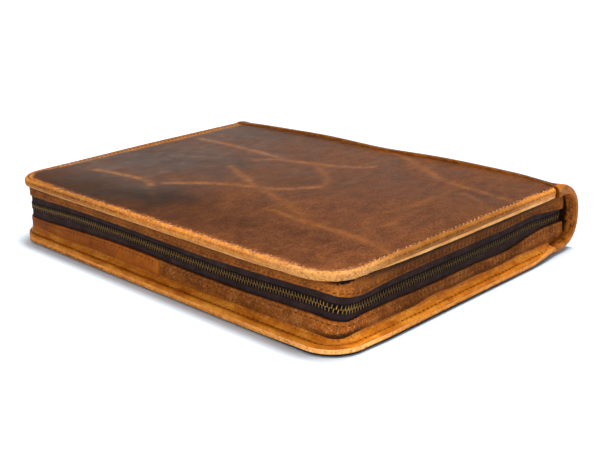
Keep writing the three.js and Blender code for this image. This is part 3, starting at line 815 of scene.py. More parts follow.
def panel_relief(x, y, inset, seed):
    """Padding in millimetres: a groove at the stitches, a soft pillow inside them and broad waves."""
    groove = -GROOVE_DEPTH * bell(inset, STITCH_INSET, GROOVE_WIDTH)
    pillow = PILLOW_HEIGHT * smooth(inset, STITCH_INSET, PILLOW_INSET)
    waves = BROAD_WAVES.height * lattice_noise(x, y, BROAD_WAVES.cell, seed)
    waves = waves + SHORT_WAVES.height * lattice_noise(x, y, SHORT_WAVES.cell, seed + 1)
    return groove + pillow + waves * smooth(inset, WAVES_FROM, WAVES_FULL)


def left_lift(along, inset):
    """How far the front rim stands up along the left side."""
    return LEFT_LIFT * smooth(-along, *LEFT_LIFT_ALONG) * (1 - smooth(inset, *LEFT_LIFT_INSET))


print("a ring of a cover has", len(ALONG) + BACK_STEPS, "points")

# %% Rings of a cover
RIM_BAND, RIM_RINGS = 11.0, 22  # inset where the rings of the rim start, and their number
POLE_SHARE = 0.02  # size of the panel's smallest ring, as a share of its largest
UNDER_RINGS = 5  # rings of the hidden inner face
SCAR_DEPTH = 0.12


def cover_rings(outline, panel_rows, tuck):
    """X, Y, inset and depth of rings from the outer face's middle, over the rim, to the inner face's."""
    nose_inset, nose_depth = nose_rows(tuck)
    rim_inset = np.linspace(RIM_BAND, nose_inset[0], RIM_RINGS, endpoint=False)
    ring_inset = np.r_[rim_inset, nose_inset]
    shares = np.linspace(POLE_SHARE, 1, panel_rows, endpoint=False)[:, None]
    edge_x, edge_y = cover_ring(outline, rim_inset[:1])
    middle_x = (outline.left + outline.right) / 2
    panel_x = middle_x + shares * (edge_x - middle_x)
    panel_y = shares * edge_y
    ring_x, ring_y = cover_ring(outline, ring_inset)
    under = slice(None, None, -(panel_rows // UNDER_RINGS))
    hidden = len(panel_x[under])
    x = np.concatenate([panel_x, ring_x, panel_x[under]])
    y = np.concatenate([panel_y, ring_y, panel_y[under]])
    inset = np.minimum.reduce([x - outline.left, outline.right - x, y - outline.fore])
    inset[panel_rows:-hidden] = ring_inset[:, None]
    inset[-hidden:] = 0
    outer_rows = np.zeros(panel_rows + len(rim_inset))
    depth = np.r_[outer_rows, nose_depth, np.full(hidden, COVER_THICKNESS)][:, None]
    return x, y, inset, depth


def cover(name, outline, outer, inward, panel_rows, seed, tuck, rim_painted_light, scars=(), patches=(), upper=True):
    """The rings raised by their padding; the lower cover is pressed flat and has a foot darkened by painted
    shade instead.
    """
    x, y, inset, depth = cover_rings(outline, panel_rows, tuck)
    relief = np.where(depth == 0, panel_relief(x, y, inset, seed), 0)
    relief = relief if upper else np.minimum(relief, 0)
    scar = scar_chart(x, y, scars) * (depth == 0)
    along = np.r_[ALONG, np.full(BACK_STEPS, ALONG[-1])]
    rise = left_lift(along, inset) * (1 - depth / COVER_THICKNESS) * upper
    z = outer(x, y) + inward * (depth - relief + SCAR_DEPTH * scar - rise)
    # painted shade on the lower cover's roll, from the floor up to a height that changes along the border
    shaded_foot_height = at(SHADED_FOOT_HEIGHT, along)
    foot = (1 - smooth(depth, shaded_foot_height, shaded_foot_height + SHADED_FOOT_FADE)) * (inset < STITCH_INSET + SHADED_FOOT_INSET)
    values = {"inset": inset, "scar": scar, "depth": depth + 0 * x, "foot": foot * (not upper)}
    values.update(panel_wear_and_sheen(x, y, patch_chart(x, y, patches)))
    for key, chart in {**RIM_CHARTS, "rim_painted_light": rim_painted_light}.items():
        values[key] = np.broadcast_to(at(chart, along), x.shape)
    return shell(name, x, y, z, values)


print("the rim has", RIM_RINGS, "rings from an inset of", RIM_BAND, "mm to its nose")

# %% The two covers
SWELL_FROM, LIFT_FROM, SETTLED_AT = 40.0, 70.0, 106.0  # Y
FLAP_UNDER = 2.6


def front_outer(x, y):
    """Height of the front cover's outer face, which swells towards the spine."""
    return PANEL_TOP + through(x, SPINE.x, SPINE.swell) * smooth(y, SWELL_FROM, SETTLED_AT)


def back_outer(x, y):
    """Height of the back cover's outer face, which lifts over the spine's lower flap."""
    return FLAP_UNDER * smooth(y, LIFT_FROM, SETTLED_AT)


FRONT_ROWS, FRONT_SEED, FRONT_TUCK = 70, 3, 0.35
front_panel = cover(
    "front_panel", FRONT_RIM, front_outer, -1, FRONT_ROWS, FRONT_SEED, FRONT_TUCK, FRONT_RIM_PAINTED_LIGHT,
    PANEL_SCARS, PANEL_PATCHES,
)
finish_piece(front_panel, panel_leather, "brown_leather", "front_cover")

BACK_ROWS, BACK_SEED, BACK_TUCK = 30, 9, 0.0
back_panel = cover(
    "back_panel", BACK_RIM, back_outer, 1, BACK_ROWS, BACK_SEED, BACK_TUCK, BACK_RIM_PAINTED_LIGHT, upper=False
)
finish_piece(back_panel, panel_leather, "tan_leather", "back_cover")

# %% [markdown]
# ## Edging strips
# A narrow strip is sewn under each rim. On the back cover it makes one round roll with the cover's rim,
# then the stitched groove of the orange flange, whose inner edge rides up against the gusset. On the
# front cover only its cut edge shows, as a pale lip under the rim that wears away at the corner. It could
# be a part of the cover's mesh, but as a strip of its own it can wave and wear by itself.

# %% Section of the edging
EdgingRows = namedtuple("EdgingRows", "reach under flange lip")
EDGING = EdgingRows(
    reach=[0.0, 0.03, 0.08, 0.15, 0.22, 0.3, 0.37, 0.44, 0.52, 0.64, 0.78, 0.9, 1.0],
    under=[0.03, 0.05, 0.08, 0.08, 0.08, 0.08, 0.08, 0.1, 0.3, 0.75, 1.4, 2.1, 2.6],
    flange=[0.1, 0.75, 1.3, 1.75, 1.95, 1.85, 1.65, 1.6, 1.8, 2.6, 3.6, 4.8, 6.6],
    lip=[0.1, 1.0, 1.7, 2.1, 2.2, 2.2, 2.2, 2.2, 2.2, 2.2, 2.3, 2.6, 3.2],
)
GROOVE_REACH = 0.44
GROOVE_OVER = 1.6
LIP_UNDER = 2.2
TOUCH = 0.05
NOSE_END, NOSE_ROWS, OVER_ROWS, UNDER_ROWS = 0.1, 7, 30, 12
DENTS = Waves(0.15, 9)
DENTS_ACROSS, RAGS_ACROSS, RAGS_CELL = 6, 3, 2.6
EDGING_WIDTH = 10  # about the strip's width, for its UV map
Side = namedtuple("Side", "outline inner inward nose")
BACK_SIDE = Side(BACK_RIM, COVER_THICKNESS, 1, 0.05)
FRONT_SIDE = Side(FRONT_RIM, FRONT_INNER, -1, 0.3)


def under_rim(side, reach):
    """X and Y between the edging's nose (reach 0) and the gusset's face (reach 1)."""
    nose_x, nose_y = border(side.outline, rim_out(side.outline) - side.nose)
    face_x, face_y = border(GUSSET_FACE, TOUCH)
    reach = np.asarray(reach)[:, None]
    return nose_x + reach * (face_x - nose_x), nose_y + reach * (face_y - nose_y)


def edging(name, side, profile, rise, share, ragged, tone, seed):
    """Profile along the border: the upper face from nose to gusset, then the lower face back."""
    over_reach = np.r_[np.linspace(0, NOSE_END, NOSE_ROWS), np.linspace(NOSE_END, 1, OVER_ROWS)[1:]]
    under_reach = np.linspace(1, 0, UNDER_ROWS)[1:]
    reach = np.r_[over_reach, under_reach][:, None]
    over = through(over_reach, EDGING.reach, profile)[:, None]
    risen = GROOVE_OVER + (over - GROOVE_OVER) * rise
    over = np.where(over_reach[:, None] > GROOVE_REACH, risen, over) * share
    under = through(under_reach, EDGING.reach, EDGING.under)[:, None] * rise
    height = np.concatenate([over + ZEROS, np.minimum(under, over[-1:] / 2) + ZEROS])
    uneven = DENTS.height * lattice_noise(ALONG, reach * DENTS_ACROSS, DENTS.cell, seed)
    uneven = uneven + ragged * lattice_noise(ALONG, reach * RAGS_ACROSS, RAGS_CELL, seed + 1)
    uneven[len(over_reach) :] = 0
    x, y = under_rim(side, reach[:, 0])
    across = reach + ZEROS
    # tone is painted light along the border
    values = {"across": across, "tone": np.broadcast_to(tone, across.shape)}
    z = side.inner + side.inward * (height + uneven)
    return tube(name, x, y, z, values, strip_map(across * EDGING_WIDTH))


print("the flange's profile rises to", max(EDGING.flange), "mm")

# %% Edging leather


def tan_leather(name, colours, rough=0.5, sunk_shade=0.72):
    """Rubbed tan leather: mottled, streaked along the strip, with painted shade in the sunk stitch row and
    painted light along the border.
    """
    finish = Finish(name)
    dark, middle, pale = (srgb(*c) for c in colours)
    colour = finish.ramp(
        finish.noise(45.0, 6.0, 0.65, warp=0.5), (0.3, dark), (0.5, middle), (0.72, pale)
    )
    colour = finish.dab(colour, pale, finish.strip_noise(0.12, 55.0, 4.0, 0.6), 0.45, 0.7, 0.6)
    flecks = finish.noise(650.0, 4.0, 0.65)
    colour = finish.dab(colour, dark, flecks, 0.5, 0.72, 0.55)
    colour = finish.dab(colour, dark, finish.noise(110.0, 4.0, 0.6), 0.55, 0.75, 0.5)
    reached = finish.attribute("across")
    colour = finish.shaded(colour, finish.apart(reached, GROOVE_REACH), 0.02, 0.16, sunk_shade, 1.0)
    # painted light: the strip made brighter or darker along the border, as the lamps would light it
    colour = finish.brighter(colour, finish.attribute("tone"))
    fade = finish.plus(reached, finish.span(flecks, 0.3, 0.7, -0.12, 0.12))
    colour = finish.dab(colour, srgb(132, 70, 18), fade, 0.74, 1.0, 0.6)
    return finish.surface(
        Base_Color=colour,
        Roughness=rough,
        Specular_IOR_Level=0.12,
        Normal=leather_grain(finish, 0.8, 0.8),
    )


flange_leather = tan_leather("flange_leather", [(140, 68, 8), (190, 106, 18), (222, 150, 52)])
lip_leather = tan_leather("lip_leather", [(200, 124, 56), (226, 158, 86), (240, 186, 120)], 0.62, 1.0)
print("leathers:", flange_leather.name, lip_leather.name)

# %% Edging strips
FLANGE_RISE = Chart(
    [-400, -150, -120, -60, 0, 40, 75, 110, 150, 260, 340, 400],
    [1.0, 0.95, 0.85, 0.85, 0.65, 0.6, 0.65, 0.95, 1.05, 1.1, 1.0, 1.0],
)
# painted light of each stretch of the flange
FLANGE_PAINTED_LIGHT = Chart(
    [-425, -150, 0, 120, 172, 200, 240, 425], [0.97, 0.99, 1.01, 1.18, 1.33, 1.09, 0.95, 0.95]
)
FLANGE_RAGGED = 0.06
LIP_SHARE = Chart(
    [-425, -170, -130, 0, 100, 140, 158, 180, 235, 425],
    [0.5, 0.4, 0.55, 0.7, 0.85, 0.5, 0.15, 0.12, 1.0, 1.2],
)
# painted light of each stretch of the lip
LIP_PAINTED_LIGHT = Chart([-425, 100, 172, 200, 260, 425], [0.8, 0.8, 0.95, 1.0, 1.05, 1.05])
LIP_RAGGED = Chart([-425, 100, 150, 172, 195, 240, 425], [0.1, 0.1, 0.3, 0.45, 0.2, 0.08, 0.08])
FLANGE_SEED, LIP_SEED = 21, 22
flange_rise = charted(FLANGE_RISE)
back_flange = edging(
    "back_flange", BACK_SIDE, EDGING.flange, flange_rise, 1.0, FLANGE_RAGGED, charted(FLANGE_PAINTED_LIGHT),
    FLANGE_SEED,
)
finish_piece(back_flange, flange_leather, "tan_leather", "back_edging")
front_lip = edging(
    "front_lip", FRONT_SIDE, EDGING.lip, 1.0, charted(LIP_SHARE), charted(LIP_RAGGED), charted(LIP_PAINTED_LIGHT),
    LIP_SEED,
)
finish_piece(front_lip, lip_leather, "pale_leather", "front_edging")

# %% [markdown]
# ## Gusset
# The gusset is the wall between the covers, cut along its middle for the zip. It is thin and unlined, so
# it bows and waves between the rims. Its foot is turned out and sewn in under the edging. The lower strip
# is two pieces: a smooth orange one on the left laps over a rough brown one at the middle of the fore
# edge. A cloth simulation could bow it, but a formula keeps the zip on the line that was read off the
# object.

# %% Where the zip and the gusset run
HOLLOW_LOW, HOLLOW_MIDDLE, HOLLOW_HIGH = 7.5, 27.0, 46.0
HOLLOW_FULLNESS = 2.8
HIGHEST_RISE = 0.88
RIGHT_END = 127.0
RIPPLE = Waves(0.3, 5)
RIPPLE_MIDDLE, RIPPLE_SPREAD, RIPPLE_SEED = 172, 40, 51


def hollow_y(z, x):
    """How far back the spine's hollow reaches at a height, beside an end of the gusset."""
    collar = collar_y(x)
    rise = np.where(
        z > HOLLOW_MIDDLE,
        (z - HOLLOW_MIDDLE) / (HOLLOW_HIGH - HOLLOW_MIDDLE),
        (HOLLOW_MIDDLE - z) / (HOLLOW_MIDDLE - HOLLOW_LOW),
    )
    share = (1 - np.clip(rise, 0, HIGHEST_RISE) ** HOLLOW_FULLNESS) ** (1 / HOLLOW_FULLNESS)
    return collar + share * (BACK_Y - SPINE_WALL - collar)


def zip_end(z):
    """Where the sides end at each height: on the left short of the spine's wall, on the right sooner."""
    end = hollow_y(z, np.where(ON_LEFT, GUSSET_FACE.left, GUSSET_FACE.right)) - END_GAP
    return np.where(ON_LEFT, end, np.minimum(end, RIGHT_END))


ripple = RIPPLE.height * lattice_noise(ALONG, 0, RIPPLE.cell, RIPPLE_SEED)
ripple = ripple * bell(ALONG, RIPPLE_MIDDLE, RIPPLE_SPREAD)
upper_edge = ZIP_TOP + through(ALONG, ZIP.along, ZIP.upper) + ripple
lower_edge = ZIP_BOTTOM + through(ALONG, ZIP.along, ZIP.lower)
teeth_line = ZIP_CENTRE + through(ALONG, ZIP.along, ZIP.teeth)
print("the zip's middle lies", teeth_line.min().round(1), "to", teeth_line.max().round(1), "mm up")

# %% Gusset surface
GUSSET_BOW, BOW_POWER = 0.6, 0.7
LONG_BILLOWS, SHORT_BILLOWS = Waves(0.45, 26), Waves(0.22, 7)
BILLOWS_ACROSS = 20
CORNER_CALM = 0.8  # share of the bow and billows that the left corner takes away
FACE_ROWS = 26
BASE_LEAST, BASE_RISE = 0.6, 2.2
EDGE_ROUNDING, EDGE_NICK = 0.5, 0.12
FOOT_REACH = [0.62, 0.8, 0.97]
FOOT_OVER = np.array([[0.3], [1.0], [1.9]])
FOOT_LEAST = 0.12


def gusset_out(share, seed):
    """How far the face stands out, from its foot (share 0) to the zip (share 1): a bow and billows."""
    waves = LONG_BILLOWS.height * lattice_noise(ALONG, share * BILLOWS_ACROSS, LONG_BILLOWS.cell, seed)
    short = lattice_noise(ALONG, share * BILLOWS_ACROSS, SHORT_BILLOWS.cell, seed + 1)
    waves = (waves + SHORT_BILLOWS.height * short) * np.sin(np.pi * share)
    return (GUSSET_BOW * np.sin(np.pi * share**BOW_POWER) + waves) * (1 - CORNER_CALM * at_left_corner)


def gusset(name, side, edge, rise, part, seed, charts, lap=0.0):
    """Foot, outer face up to the zip, rounded edge and inner face, along part of the border."""
    inner, inward = side.inner, side.inward
    level = np.ones((1, len(ALONG)))
    share = np.linspace(0, 1, FACE_ROWS)[:, None]
    base = inner + inward * (BASE_LEAST + BASE_RISE * rise)
    rounded = edge - inward * EDGE_ROUNDING
    wall = GUSSET_THICKNESS - TAPE_OUT * at_left_corner
    heights = [base + share * (rounded - base), edge - inward * EDGE_NICK, edge, edge, rounded, base]
    outs = [
        gusset_out(share, seed) + lap, lap - EDGE_NICK, lap - EDGE_ROUNDING,
        EDGE_ROUNDING - wall, -wall, -wall,
    ]
    z, out = (np.concatenate([row * level for row in rows]) for rows in (heights, outs))
    x, y = border(GUSSET_FACE, out, zip_end(z))
    foot_x, foot_y = under_rim(side, FOOT_REACH)
    foot_over = np.maximum(FOOT_OVER * rise, FOOT_LEAST) * level
    sole_z = (inner + inward * TOUCH) * level
    heel_x, heel_y = border(GUSSET_FACE, -wall * level)
    x = np.concatenate([foot_x, x, heel_x, foot_x[:1]])
    y = np.concatenate([foot_y, y, heel_y, foot_y[:1]])
    z = np.concatenate([inner + inward * foot_over, z, sole_z, sole_z])
    values = {"from_edge": np.abs(z - edge), "from_base": inward * (z - inner)}
    values.update({key: np.broadcast_to(charted(chart), z.shape) for key, chart in charts.items()})
    values = {key: value[:, part] for key, value in values.items()}
    return tube(name, x[:, part], y[:, part], z[:, part], values, strip_map(z, part))


print("a gusset's face has", FACE_ROWS, "rows of", len(ALONG), "stations")

# %% Gusset leather
STITCH_PITCH = 4.4


def rough_leather(name, colours, foot_span, crease_span, nap, rough=0.75):
    """Brushed leather: nap strokes, specks and grime on a mottled ground, gathers at the zip with painted
    light and shade, painted light along the border, a foot colour, which on the upper strip is painted shade
    under the rim, and a crease of painted shade."""
    finish = Finish(name)
    dark, middle, pale, foot = (srgb(*c) for c in colours)
    colour = finish.ramp(
        finish.noise(50.0, 6.0, 0.65, warp=0.4), (0.3, dark), (0.52, middle), (0.74, pale)
    )
    strokes = finish.strip_noise(2.0, 60.0, 5.0, 0.7)
    colour = finish.dab(colour, dark, strokes, 0.42, 0.62, 0.6 * nap)
    colour = finish.dab(colour, pale, finish.noise(650.0, 4.0, 0.7), 0.52, 0.68, 0.8 * nap)
    grime = finish.noise(480.0, 4.0, 0.75)
    colour = finish.dab(colour, srgb(60, 38, 24), grime, 0.53, 0.66, 0.75 * nap)
    sway = finish.times(finish.noise(110.0, 3.0), 9.0)
    turns = finish.times(finish.strip()[0], UV_UNIT * 2 * np.pi / STITCH_PITCH)
    ribs = finish.math("SINE", finish.plus(turns, sway))
    from_edge = finish.attribute("from_edge")
    band = finish.times(finish.span(from_edge, 0.4, 1.2), finish.span(from_edge, 4.0, 7.0, 1.0, 0.0))
    gathers = finish.times(finish.times(ribs, band), finish.attribute("gather"))
    # painted light and shade: the gathers' ridges made lighter and their hollows darker, in addition to
    # their bump
    colour = finish.shaded(colour, gathers, -1.0, 1.0, 0.5, 1.5)
    # painted light: brighter or darker along the border, as the lamps would light each side
    colour = finish.brighter(colour, finish.attribute("tone"))
    from_base = finish.plus(finish.attribute("from_base"), finish.span(grime, 0.3, 0.7, -1.0, 1.0))
    # the foot colour is painted shade under the front rim on the upper strip and a blend towards the flange
    # on the lower ones; the crease colour is painted shade
    for key, reach, paint in (("foot", foot_span, foot), ("crease", crease_span, srgb(26, 13, 6))):
        share = finish.times(finish.span(from_base, *reach, 1.0, 0.0), finish.attribute(key))
        colour = finish.mix(share, colour, paint)
    normal = leather_grain(finish, 1.3, 1.0)
    normal = finish.bump(strokes, 0.0008 * nap, 0.6, normal)
    normal = finish.bump(gathers, 0.0006, 0.8, normal)
    return finish.surface(Base_Color=colour, Roughness=rough, Specular_IOR_Level=0.08, Normal=normal)


# its foot colour is painted shade under the front rim's overhang
upper_leather = rough_leather(
    "upper_gusset_leather", [(92, 48, 14), (140, 78, 24), (178, 104, 40), (48, 32, 20)],
    foot_span=(4.6, 7.0), crease_span=(2.2, 3.8), nap=0.9,
)
brown_leather = rough_leather(
    "brown_gusset_leather", [(88, 44, 14), (140, 76, 20), (182, 116, 60), (168, 92, 18)],
    foot_span=(3.6, 7.0), crease_span=(7.2, 9.2), nap=1.05,
)
orange_leather = rough_leather(
    "orange_gusset_leather", [(118, 56, 8), (168, 86, 14), (196, 114, 30), (120, 60, 12)],
    foot_span=(3.0, 6.5), crease_span=(2.0, 3.0), nap=0.5, rough=0.6,
)
print("leathers:", upper_leather.name, brown_leather.name, orange_leather.name)

# %% Gusset strips
# upper strip: tone is painted light along the border, foot and crease are painted shade under the front rim,
# gather weights the ridges
UPPER_CHARTS = {
    "tone": Chart(
        [-425, -150, 60, 120, 155, 172, 190, 225, 380, 405, 425],
        [1.05, 1.04, 1.1, 1.2, 1.52, 1.8, 1.2, 0.64, 0.64, 1.05, 1.15],
    ),
    "gather": Chart([-425, 120, 172, 230, 370, 400, 425], [0.1, 0.1, 0.15, 0.4, 0.4, 0.2, 0.1]),
    "foot": Chart(
        [-425, 120, 160, 185, 205, 235, 375, 400, 425], [0.25, 0.3, 0.2, 0.2, 0.7, 1.0, 1.0, 0.4, 0.2]
    ),
    "crease": Chart([-425, 150, 166, 190, 210, 240, 425], [0.2, 0.2, 0.95, 0.95, 0.5, 0.3, 0.3]),
}
# lower strips: tone is painted light along the border, crease is painted shade where the gusset meets the
# flange, foot weights the colour near the flange, gather the ridges
LOWER_CHARTS = {
    "tone": Chart(
        [-425, -150, 20, 120, 150, 172, 195, 230, 350, 400, 425],
        [0.92, 0.71, 0.98, 1.09, 1.63, 2.45, 1.44, 0.86, 0.86, 1.07, 1.12],
    ),
    "foot": Chart([-425, -150, 0, 120, 160, 185, 230, 425], [0.3, 0.3, 0.45, 0.4, 0.1, 0.1, 0.2, 0.3]),
    "crease": Chart(
        [-425, 130, 163, 176, 195, 240, 380, 425], [0.0, 0.1, 0.85, 0.85, 0.4, 0.35, 0.35, 0.2]
    ),
    "gather": Chart([-425, 120, 172, 230, 300, 380, 425], [0.08, 0.1, 0.1, 0.15, 0.25, 0.4, 0.1]),
}
UPPER_SEED, LEFT_SEED, RIGHT_SEED = 31, 33, 35
UPPER_RISE = 0.3
JOINT_X = 2.0
LAP_STATIONS = 3  # by which the brown strip goes on under the orange one
LAP_BULGE, LAP_FROM, LAP_FULL = 0.8, 8.0, 2.0  # the orange strip rises over the brown one before its end
OFF_FORE = 1000.0  # keeps stations of the sides out of the search

joint_station = int(np.argmin(np.hypot(border(GUSSET_FACE)[0] - JOINT_X, LIFT * OFF_FORE)))
joint = ALONG[joint_station]
lap_bulge = LAP_BULGE * smooth(ALONG, joint - LAP_FROM, joint - LAP_FULL)

upper_gusset = gusset(
    "upper_gusset_leather", FRONT_SIDE, upper_edge, UPPER_RISE, slice(None), UPPER_SEED, UPPER_CHARTS
)
finish_piece(upper_gusset, upper_leather, "gusset_leather", "upper_gusset")
left_gusset = gusset(
    "lower_gusset_orange", BACK_SIDE, lower_edge, flange_rise, slice(0, joint_station + 1), LEFT_SEED,
    LOWER_CHARTS, lap_bulge,
)
finish_piece(left_gusset, orange_leather, "orange_leather", "lower_gusset_left")
right_gusset = gusset(
    "lower_gusset_brown", BACK_SIDE, lower_edge, flange_rise, slice(joint_station - LAP_STATIONS, None),
    RIGHT_SEED, LOWER_CHARTS,
)
finish_piece(right_gusset, brown_leather, "gusset_leather", "lower_gusset_right")

# %% [markdown]
# ## Zip tapes
# Two strips of dark woven tape lie behind the cut edges of the gusset. Each has a thick corded edge,
# where the teeth clamp, and a few woven ribs along it. Its threads could be modelled, but they are so fine
# that millions of faces would be needed, so the herringbone of the weave is bump, on a UV map laid along
# the tape.

# %% Tape surface
TAPE_LAP = 4.0
TAPE_ROWS = 24
TAPE_START = 0.9  # from the middle of the zip to the tape's edge
CORD_RADIUS, CORD_AT, CORD_WIDTH = 0.5, 0.8, 0.75
RIB_HEIGHT, RIB_PITCH = 0.1, 1.9
RIBS_FROM, RIBS_FULL = 1.5, 2.5
TAPE_WAVES = Waves(0.3, 21)
TAPE_WAVES_FROM, TAPE_WAVES_FULL = 1.0, 4.0


def tape(name, edge, towards, seed):
    """Flat section with a round corded edge beside the teeth, carried along the border."""
    inside = teeth_line + towards * TAPE_START
    outside = edge + towards * TAPE_LAP
    share = np.linspace(0, 1, TAPE_ROWS)[:, None]
    z = inside + share * (outside - inside)
    from_cord = np.abs(z - inside)
    cord = CORD_RADIUS * bell(from_cord, CORD_AT, CORD_WIDTH)
    ribs = RIB_HEIGHT * np.cos(2 * np.pi * from_cord / RIB_PITCH) * smooth(from_cord, RIBS_FROM, RIBS_FULL)
    waves = TAPE_WAVES.height * lattice_noise(ALONG, from_cord, TAPE_WAVES.cell, seed)
    waves = waves * smooth(from_cord, TAPE_WAVES_FROM, TAPE_WAVES_FULL)
    middle = waves - TAPE_INSET + TAPE_OUT * at_left_corner
    out = np.concatenate([middle + cord + ribs, (middle - cord - TAPE_THICKNESS)[::-1]])
    z = np.concatenate([z, z[::-1]])
    x, y = border(GUSSET_FACE, out, zip_end(z))
    values = {"from_cord": np.concatenate([from_cord, from_cord[::-1]])}
    return tube(name, x, y, z, values, strip_map(z))


print("a tape goes on", TAPE_LAP, "mm behind the gusset's edge")

# %% Tape cloth and tapes
WEAVE_ROW, WEAVE_SLANT = 0.55, 0.9


def woven_tape(name):
    """Dark cloth: a herringbone of slanted ridges that turn at each row, worn paler, and painted shade
    beside the teeth."""
    finish = Finish(name)
    along, across = finish.strip()
    rows = finish.math("SINE", finish.times(across, UV_UNIT * 2 * np.pi / WEAVE_ROW))
    slant = finish.plus(finish.times(along, UV_UNIT * 2 * np.pi / WEAVE_SLANT), rows)
    weave = finish.times(finish.math("SINE", slant), rows)
    colour = finish.ramp(
        finish.noise(120.0, 5.0, 0.6),
        (0.3, srgb(48, 34, 32)), (0.55, srgb(62, 46, 44)), (0.8, srgb(80, 61, 58)),
    )
    colour = finish.dab(colour, srgb(28, 18, 18), weave, -1.0, 1.0, 0.45)
    # painted shade: the cloth darkened beside the teeth, where they shade it
    colour = finish.shaded(colour, finish.attribute("from_cord"), 1.6, 3.0, 0.3, 1.0)
    return finish.surface(
        Base_Color=colour,
        Roughness=0.95,
        Specular_IOR_Level=0.1,
        Normal=finish.bump(weave, 0.00015, 0.7),
    )


tape_cloth = woven_tape("woven_zip_tape")
UPPER_TAPE_SEED, LOWER_TAPE_SEED = 41, 42
upper_tape = tape("upper_zip_tape", upper_edge, 1, UPPER_TAPE_SEED)
finish_piece(upper_tape, tape_cloth, "zip_tape", "zip_tape_upper")
lower_tape = tape("lower_zip_tape", lower_edge, -1, LOWER_TAPE_SEED)
finish_piece(lower_tape, tape_cloth, "zip_tape", "zip_tape_lower")

# %% [markdown]
# ## Zip teeth
# The zip is a common metal one: a tooth every 2.54 mm on each tape, the two rows half a step apart, their
# heads locked together in the middle. One tooth has only a few faces. An Array modifier could repeat it
# along a curve. Here its points are placed at every step at once, by adding each point's share of the
# path's direction, of its outward direction and of up, so that each tooth can also get painted light and
# shade by its place.

# %% Rows of repeated shapes
Frames = namedtuple("Frames", "place along out up station")
LOOK_AHEAD = 0.4
SLIDER_START = 103.0
TEETH_SHORT = 0.8  # the teeth end this much before the tape


def frames_on(x, y, z, normal, pitch, start=0.0):
    """Places at equal steps along a path, with directions along it, beside it and off the surface."""
    distance = path_length(x, y)
    steps = np.arange(start + pitch, distance[-1] - pitch / 2, pitch)

    def on_path(columns, where):
        return np.stack([np.interp(where, distance, c) for c in columns], -1)

    place = on_path((x, y, z), steps)
    along = on_path((x, y, z), steps + LOOK_AHEAD) - place
    along /= np.linalg.norm(along, axis=1, keepdims=True)
    off = on_path(normal, steps)
    off = off - along * np.einsum("ij,ij->i", off, along)[:, None]
    off /= np.linalg.norm(off, axis=1, keepdims=True)
    return Frames(place, along, np.cross(off, along), off, np.interp(steps, distance, np.arange(len(x))))


def worn(frames, chart):
    """A chart's value at every frame of a row that follows the whole border."""
    return np.interp(frames.station, np.arange(len(ALONG)), charted(chart))[:, None]


def repeated(name, frames, shape, values):
    """One mesh with a shape at every frame; its points are (along, beside, off) from the place."""
    points, quads, caps = shape
    count, size = len(frames.place), len(points)
    moved = frames.place[:, None] + (
        points[None, :, 0:1] * frames.along[:, None]
        + points[None, :, 1:2] * frames.out[:, None]
        + points[None, :, 2:3] * frames.up[:, None]
    )
    shift = (np.arange(count) * size)[:, None, None]
    all_quads = (quads[None] + shift).reshape(-1, 4)
    all_caps = [c for cap in caps for c in (cap[None] + shift[:, :, 0])]
    values = {key: np.broadcast_to(v, (count, size)) for key, v in values.items()}
    return build(name, moved.reshape(-1, 3), all_quads, all_caps, values)


zip_out = TAPE_OUT * at_left_corner - ZIP_INSET
zip_x, zip_y = border(GUSSET_FACE, zip_out, np.where(ON_LEFT, SLIDER_START, RIGHT_END - TEETH_SHORT))
print("the teeth run over", round(path_length(zip_x, zip_y)[-1]), "mm")

# %% Tooth and brass
TOOTH_WIDTH, TOOTH_DEPTH, TOOTH_HEAD, TOOTH_TAIL = 0.72, 1.2, 0.5, 2.9
CHAMFER, SIDE_CHAMFER, CORNER_CUT = 0.28, 0.6, 0.45


def tooth(side):
    """A chamfered block from its head, past the zip's middle, to its tail on the tape; side is 1 or -1."""
    inner_off = TOOTH_DEPTH - CHAMFER
    rings = []
    for off, shrink in (
        (-TOOTH_DEPTH, CHAMFER), (-inner_off, 0.0), (inner_off, 0.0), (TOOTH_DEPTH, CHAMFER)
    ):
        half = TOOTH_WIDTH / 2 - SIDE_CHAMFER * shrink
        low, high = shrink - TOOTH_HEAD, TOOTH_TAIL - shrink
        cut = CORNER_CUT * half
        ring = [
            (half, low + cut), (half, high - cut), (half - cut, high), (cut - half, high),
            (-half, high - cut), (-half, low + cut), (cut - half, low), (half - cut, low),
        ]
        rings.append([(a, -side * u, off) for a, u in ring])
    return capped(np.array(rings))


def antique_brass(name, colours, rough=0.45):
    """Tarnished brass, darker on its sides and brighter on its front by painted light and shade."""
    finish = Finish(name)
    dark, middle, bright = (srgb(*c) for c in colours)
    tarnish = finish.noise(900.0, 4.0, 0.6)
    colour = finish.ramp(tarnish, (0.3, dark), (0.52, middle), (0.75, bright))
    return finish.surface(
        # painted light and shade: sides darker, fronts brighter, and brightest at the corner beside the
        # camera
        Base_Color=finish.brighter(colour, finish.attribute("shine")),
        Metallic=0.8,
        Roughness=finish.span(tarnish, 0.3, 0.7, rough + 0.12, rough - 0.08),
        Normal=finish.bump(finish.noise(3000.0, 2.0), 0.00004, 0.5),
    )


tooth_brass = antique_brass("tooth_brass", [(102, 76, 38), (136, 103, 53), (168, 134, 78)])
print("a tooth has", len(tooth(1)[1]), "faces and two caps")

# %% Teeth
TOOTH_PITCH = 2.54
HEAD_LENGTH = 0.75
LEVEL_SHINE = [0.08, 0.08, 0.4, 1.0]  # painted light of the tooth's four rings, from the shaded back to the lit front
SHINE_PLACES = [-425, -160, -100, 0, 140, 172, 190, 230, 425]
# painted light and shade of the legs and heads along the border, brightest at the corner beside the camera
LEG_SHINE = Chart(SHINE_PLACES, [0.3, 0.36, 0.46, 0.5, 0.62, 1.0, 0.55, 0.38, 0.38])
HEAD_SHINE = Chart(SHINE_PLACES, [1.1, 1.1, 1.05, 1.05, 1.4, 2.2, 0.85, 0.55, 0.5])

